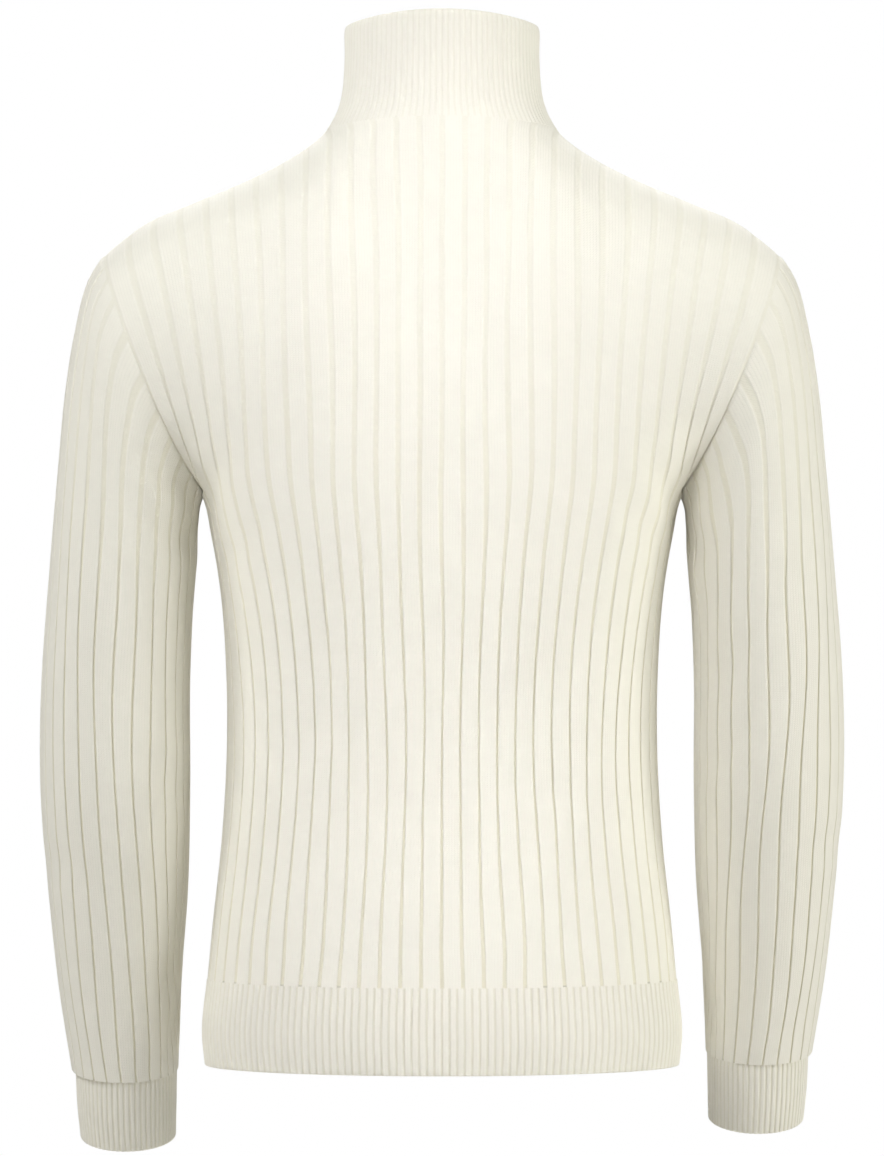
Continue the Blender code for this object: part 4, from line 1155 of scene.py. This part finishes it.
def zip_stitches(front, band):
    """Short stitches of thread down both sides of the slit, on the front and on the collar."""
    ribs, inside, outside, slit_row = front
    knots, collar_inside, collar_outside = band
    lines = []
    for sign in (1, -1):
        place = place_of(ribs, sign * (SLIT_RIB + STITCH_IN / NECK_PITCH))
        lines.append((outside[slit_row:-2, place], inside[slit_row:-2, place]))
        place = place_of(knots, 1.0 if sign > 0 else COLLAR_RIBS - 1.0)
        lines.append((collar_outside[1:-2, place], collar_inside[1:-2, place]))
    turns = np.arange(STITCH_SIDES) * 2 * math.pi / STITCH_SIDES
    shape = ([], [])
    for line, below in lines:
        run = run_along(line)
        sources = (line, unit(line - below), line_directions(line))
        for place in np.arange(STITCH_PITCH, run[-1] - STITCH_PITCH / 2, STITCH_PITCH):
            point, normal, way = (read_line(run, source, place) for source in sources)
            normal, way = unit(normal), unit(way)
            side = np.cross(normal, way)
            rings = []
            for share, thick, lift in STITCH_RINGS:
                radius = STITCH_THICK / 2 * thick
                middle = point + way * share * STITCH_LENGTH + normal * lift * STITCH_THICK
                rings.append([middle + radius * (side * math.cos(turn) + normal * math.sin(turn))
                              for turn in turns])
            add_loft(shape, rings)
    return new_mesh("zip_stitches", *shape, smooth=True)


# ---------------------------------------------------------------- materials

STITCH_DEPTH = 0.36 * MM
TROUGH_SHADE_PALING_ZONE = (-0.40, -0.10)  # heights over which the painted shade in the troughs turns paler, where the cloth is stretched and the troughs open
LEG_SLANT = 1.1         # of a V stitch's legs, in rows
PURL_SLANT = -0.6
RIB_COLOUR = (0.87, 0.843, 0.733)
# Trough colours: the purl's own tone with painted shade for the troughs' depth; the open one is a
# paler painted shade for stretched, open troughs
TROUGH_TONE_AND_SHADE = (0.80, 0.763, 0.60)
OPEN_TROUGH_TONE_AND_SHADE = (0.85, 0.822, 0.70)
FINE_TROUGH_TONE_AND_SHADE = (0.82, 0.788, 0.65)
WIDE_COURSE = 1.25 * MM  # one row of stitches
FINE_COURSE = 1.15 * MM
HOLE_PAINTED_SHADE = 0.26            # how dark the painted shade is in the small hole where a wide trough ends at the lower seam
HOLE_SHADE_REACH = (0.3 * MM, 1.4 * MM)
TAPE_STRAND = 0.9 * MM
TAPE_TWILL = 0.55 * MM


class Surface:
    """One material, with short calls that add shader nodes and link them."""

    def __init__(self, name, view_colour=(0.8, 0.8, 0.8), **settings):
        self.material = bpy.data.materials.new(name)
        self.material.use_nodes = True
        self.material.diffuse_color = (*view_colour, 1)
        self.shader = self.material.node_tree.nodes["Principled BSDF"]
        for setting, value in settings.items():
            self.shader.inputs[setting.replace("_", " ")].default_value = value

    def link(self, value, socket):
        if isinstance(value, bpy.types.NodeSocket):
            self.material.node_tree.links.new(value, socket)
        elif value is not None:
            socket.default_value = value

    def add(self, kind, inputs, output=0, **settings):
        """Adds a node and gives one of its outputs."""
        node = self.material.node_tree.nodes.new("ShaderNode" + kind)
        for setting, value in settings.items():
            setattr(node, setting, value)
        for socket, value in inputs.items():
            self.link(value, node.inputs[socket])
        return node.outputs[output]

    def calc(self, operation, *values):
        return self.add("Math", dict(enumerate(values)), operation=operation)

    def times(self, first, second):
        return self.calc("MULTIPLY", first, second)

    def minus(self, first, second):
        return self.calc("SUBTRACT", first, second)

    def from_half(self, value):
        """How far a value between 0 and 1 is from the middle."""
        return self.calc("ABSOLUTE", self.minus(value, 0.5))

    def wave(self, turns):
        return self.calc("SINE", self.times(turns, 2 * math.pi))

    def ease(self, value, low, high):
        return self.add("MapRange", {"Value": value, "From Min": low, "From Max": high}, "Result",
                        interpolation_type="SMOOTHSTEP")

    def mix(self, share, first, second, blend="MIX"):
        return self.add("Mix", {0: share, 6: first, 7: second}, 2, data_type="RGBA",
                        blend_type=blend)

    def blend_values(self, share, first, second):
        return self.add("Mix", {0: share, 2: first, 3: second}, data_type="FLOAT")

    def noise(self, scale, detail=2.0, stretch=(1, 1, 1)):
        place = self.add("Mapping", {"Vector": self.own_place(), "Scale": stretch}, "Vector")
        return self.add("TexNoise", {"Vector": place, "Scale": scale, "Detail": detail}, "Fac")

    def own_place(self):
        return self.add("TexCoord", {}, "Object")

    def knit_place(self):
        place = self.add("UVMap", {}, "UV", uv_map="knit")
        return [self.add("SeparateXYZ", {"Vector": place}, axis) for axis in "XY"]

    def bump(self, height, distance, strength, below=None):
        return self.add("Bump", {"Distance": distance, "Strength": strength, "Height": height,
                                 "Normal": below}, "Normal")

    def finish(self, colour, normal=None):
        self.link(colour, self.shader.inputs["Base Color"])
        self.link(normal, self.shader.inputs["Normal"])
        return self.material


def knit_material(name, wales, first_wale, floor, trough_tone_and_shade, course, hole_shade):
    """Rib knit: rows of V stitches on the ribs and purl loops in the troughs, with painted shade in
    the troughs, in the stitches' hollows and in the holes at the troughs' ends.
    The painted trough shade turns paler over the chest and the shoulders, where the cloth is
    stretched wide."""
    yarn = Surface(name, RIB_COLOUR, Roughness=0.92, Specular_IOR_Level=0.22, Sheen_Weight=0.08,
                   Sheen_Roughness=0.55)
    calc, times, minus, ease, mix = yarn.calc, yarn.times, yarn.minus, yarn.ease, yarn.mix
    across, run = yarn.knit_place()
    raised = ease(minus(0.5, yarn.from_half(calc("FRACT", across))), *floor)
    leg = yarn.from_half(calc("FRACT", calc("ADD", times(across, wales), first_wale)))
    courses = calc("DIVIDE", run, course)
    loops = yarn.wave(calc("ADD", courses, times(leg, LEG_SLANT)))
    valley = calc("POWER", times(leg, 2.0), 4.0)
    knit = minus(calc("MULTIPLY_ADD", loops, 0.26, 0.7), times(valley, 0.62))
    bumps = yarn.wave(calc("ADD", courses, times(leg, PURL_SLANT)))
    stitch = yarn.blend_values(raised, calc("MULTIPLY_ADD", bumps, 0.34, 0.4), knit)
    height = calc("MULTIPLY_ADD", yarn.noise(2600.0, 3.0), 0.35, stitch)
    uneven = yarn.bump(yarn.noise(48.0, 3.0, (1, 1, 0.35)), 1.2 * MM, 0.25)
    level = yarn.add("SeparateXYZ", {"Vector": yarn.own_place()}, "Z")
    # Painted shade in the troughs: the purl tone darkened, and paler higher up where the cloth is
    # stretched open
    trough = mix(ease(level, *TROUGH_SHADE_PALING_ZONE), (*trough_tone_and_shade, 1), (*OPEN_TROUGH_TONE_AND_SHADE, 1))
    colour = mix(raised, trough, (*RIB_COLOUR, 1))
    # Painted shade in the stitches' hollows: each stitch's lower parts are darker
    stitch_painted_shade = calc("MULTIPLY_ADD", minus(stitch, 0.5), 0.06, 0.988)
    fleck = calc("MULTIPLY_ADD", yarn.noise(95.0, 4.0, (1, 1, 0.5)), 0.05, 0.975)
    # Painted shade in the small hole where a wide trough ends at the lower seam
    hole = times(minus(1.0, raised), minus(1.0, ease(run, *HOLE_SHADE_REACH)))
    hole = times(hole, ease(yarn.noise(24.0), 0.42, 0.62))
    # Random yarn flecks, times the painted shade of the stitches and of the holes
    fleck_and_painted_shade = times(times(stitch_painted_shade, fleck), minus(1.0, times(hole, hole_shade)))
    grey = yarn.add("CombineColor", {"Red": fleck_and_painted_shade, "Green": fleck_and_painted_shade, "Blue": fleck_and_painted_shade}, "Color")
    return yarn.finish(mix(1.0, colour, grey, "MULTIPLY"),
                       yarn.bump(height, STITCH_DEPTH, 0.55, uneven))


def tape_material():
    weave = Surface("zip_tape_weave", (0.72, 0.69, 0.60), Roughness=0.8, Sheen_Weight=0.15)
    calc, times = weave.calc, weave.times
    across, run = weave.knit_place()
    herring = weave.from_half(calc("FRACT", calc("DIVIDE", across, TAPE_STRAND)))
    twill = weave.wave(calc("ADD", calc("DIVIDE", run, TAPE_TWILL), times(herring, 1.6)))
    height = calc("ADD", times(twill, 0.5), times(weave.noise(1800.0), 0.4))
    colour = weave.mix(calc("MULTIPLY_ADD", twill, 0.3, 0.5),
                       (0.60, 0.57, 0.47, 1), (0.74, 0.71, 0.60, 1))
    return weave.finish(colour, weave.bump(height, 0.2 * MM, 0.6))


def metal_material():
    metal = Surface("zip_satin_metal", (0.62, 0.61, 0.58), Metallic=1.0)
    brushed = metal.noise(1400.0, 3.0, (0.15, 1, 1))
    wear = metal.ease(metal.noise(160.0, 4.0), 0.35, 0.7)
    metal.link(metal.calc("MULTIPLY_ADD", brushed, 0.16, 0.36), metal.shader.inputs["Roughness"])
    return metal.finish(metal.mix(wear, (0.42, 0.41, 0.385, 1), (0.56, 0.55, 0.52, 1)),
                        metal.bump(brushed, 0.03 * MM, 0.35))


def thread_material():
    thread = Surface("sewing_thread", (0.8, 0.77, 0.66), Roughness=0.6, Sheen_Weight=0.1)
    twist = thread.noise(2200.0)
    return thread.finish(thread.mix(twist, (0.70, 0.67, 0.56, 1), (0.82, 0.79, 0.68, 1)),
                         thread.bump(twist, 0.1 * MM, 0.5))


def floor_material():
    ground = Surface("pale_floor", Roughness=0.9)
    colour = ground.mix(ground.noise(1.5), (0.80, 0.785, 0.74, 1), (0.83, 0.815, 0.77, 1))
    return ground.finish(colour)


# ---------------------------------------------------------------- studio

CAMERA_AWAY = 4.6
CAMERA_HEIGHT = -0.3164
FRAME_HEIGHT = 0.8092   # of the photograph, at the middle of the garment
SENSOR = 36.0
FLOOR_DROP = 1.45       # from the shoulders to the floor
FLOOR_RADIUS = 3.2
ROOM_COLOUR = (1.0, 0.955, 0.87, 1)
ROOM_LIGHT = 0.03
MIDDLE_COLOUR = (0.92, 0.933, 1.0)
SIDE_COLOUR = (0.932, 0.936, 0.925)
LIGHT_AIM = (0.0, 0.0, -0.32)
# Softboxes: name, place, width, height, spread in degrees, power
LIGHTS = (
    ("key", (1.2, 2.0, 1.0), 1.1, 1.1, 180, 28.6),
    ("high_left", (1.6, 0.9, 1.6), 1.0, 1.0, 180, 25.7),
    ("high_right", (-1.6, 0.9, 1.6), 1.0, 1.0, 180, 9.7),
    ("side_right", (-2.0, 1.4, 0.5), 0.8, 1.4, 180, 24.0),
    ("strip_left", (2.3, 0.62, -0.1), 0.4, 1.6, 180, 7.3),
    ("strip_right", (-2.3, 0.62, -0.1), 0.4, 1.6, 180, 16.5),
    ("narrow_strip", (0.0, 2.4, -0.2), 0.15, 0.9, 14, 0.25),
    ("front_key", (0.0, -2.0, 1.1), 1.1, 1.1, 180, 66.0),
)


def studio():
    scene = bpy.context.scene
    camera = bpy.data.objects.new("camera", bpy.data.cameras.new("camera"))
    camera.data.sensor_fit = "VERTICAL"
    camera.data.sensor_height = SENSOR
    camera.data.sensor_width = SENSOR
    camera.data.lens = SENSOR * CAMERA_AWAY / FRAME_HEIGHT
    camera.location = (0, CAMERA_AWAY, CAMERA_HEIGHT)
    camera.rotation_euler = (math.pi / 2, 0, math.pi)
    scene.collection.objects.link(camera)
    scene.camera = camera

    bpy.ops.mesh.primitive_circle_add(vertices=96, radius=FLOOR_RADIUS, fill_type="NGON",
                                      location=(0, 0, -FLOOR_DROP))
    floor = bpy.context.object
    floor.name = "floor"
    floor.data.materials.append(floor_material())

    for name, place, width, height, spread, power in LIGHTS:
        light = bpy.data.objects.new(name, bpy.data.lights.new(name, "AREA"))
        light.data.shape = "RECTANGLE"
        light.data.size = width
        light.data.size_y = height
        light.data.spread = math.radians(spread)
        light.data.energy = power
        light.data.color = MIDDLE_COLOUR if place[0] == 0 or name == "key" else SIDE_COLOUR
        light.location = place
        way = np.array(place) - np.array(LIGHT_AIM)
        light.rotation_euler = (math.acos(way[2] / np.linalg.norm(way)), 0,
                                math.atan2(way[1], way[0]) + math.pi / 2)
        scene.collection.objects.link(light)

    # A white ground behind the garment, and a dimmer, warmer room that lights it
    world = bpy.data.worlds.new("studio")
    world.use_nodes = True
    tree = world.node_tree
    room = tree.nodes["Background"]
    room.inputs["Color"].default_value = ROOM_COLOUR
    room.inputs["Strength"].default_value = ROOM_LIGHT
    white = tree.nodes.new("ShaderNodeBackground")
    white.inputs["Color"].default_value = (1, 1, 1, 1)
    seen = tree.nodes.new("ShaderNodeLightPath")
    both = tree.nodes.new("ShaderNodeMixShader")
    tree.links.new(seen.outputs["Is Camera Ray"], both.inputs["Fac"])
    tree.links.new(room.outputs["Background"], both.inputs[1])
    tree.links.new(white.outputs["Background"], both.inputs[2])
    tree.links.new(both.outputs["Shader"], tree.nodes["World Output"].inputs["Surface"])
    scene.world = world
    scene.view_settings.view_transform = "Standard"


# ---------------------------------------------------------------- the sweater

def dress(thing, name, surface, node, slot, body="sweater"):
    thing.name = name
    thing.data.materials.clear()
    thing.data.materials.append(surface)
    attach(thing, body)
    if node:
        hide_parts(node)
    return thing


def build():
    wide = knit_material("wide_rib_knit", WIDE_WALES, 0.0, (0.10, 0.135), TROUGH_TONE_AND_SHADE,
                         WIDE_COURSE, HOLE_PAINTED_SHADE)
    fine = knit_material("fine_rib_knit", FINE_WALES, 0.5, (0.10, 0.2), FINE_TROUGH_TONE_AND_SHADE,
                         FINE_COURSE, 0.0)
    tape, metal, thread = tape_material(), metal_material(), thread_material()

    back, _ = body_panel(True)
    front, front_grid = body_panel(False)
    band, band_grid = collar()
    pieces = {
        "back": (back, (0.47, 0.65), 0.255),
        "front": (front, (0.47, 0.65), 0.25),
        "sleeve_left": (sleeve(1), (0.39, 0.60), 0.19),
        "sleeve_right": (sleeve(-1), (0.39, 0.59), 0.185),
        "hem_back": (hem_panel(True), (0.44, 0.060), None),
        "hem_front": (hem_panel(False), (0.44, 0.060), None),
        "cuff_left": (cuff(1), (0.225, 0.054), None),
        "cuff_right": (cuff(-1), (0.225, 0.054), None),
        "collar": (band, (0.41, 0.085), None),
    }
    for name, (thing, flat, area) in pieces.items():
        broad = name in ("back", "front", "sleeve_left", "sleeve_right")
        surface, slot = (wide, "wide_rib_knit") if broad else (fine, "fine_rib_knit")
        dress(thing, name + "_knit", surface, name, slot)

    line = slit_line(front_grid, band_grid)
    for side, name in ((1, "zip_tape_left"), (-1, "zip_tape_right")):
        thing = dress(zip_tape(name, side, line), name + "_weave", tape, name, "zip_tape")
    dress(zip_chain(line), "zip_teeth", metal, "zip_chain", "zip_metal")
    to_world = hinge_to_world()
    dress(zip_slider(to_world), "zip_slider_metal", metal, "zip_slider", "zip_metal")
    dress(zip_pull(to_world), "zip_pull_metal", metal, "zip_pull", "zip_metal", "pull_tab")
    dress(zip_stitches(front_grid, band_grid), "zip_stitches", thread, None, "zip_tape")


build()
studio()
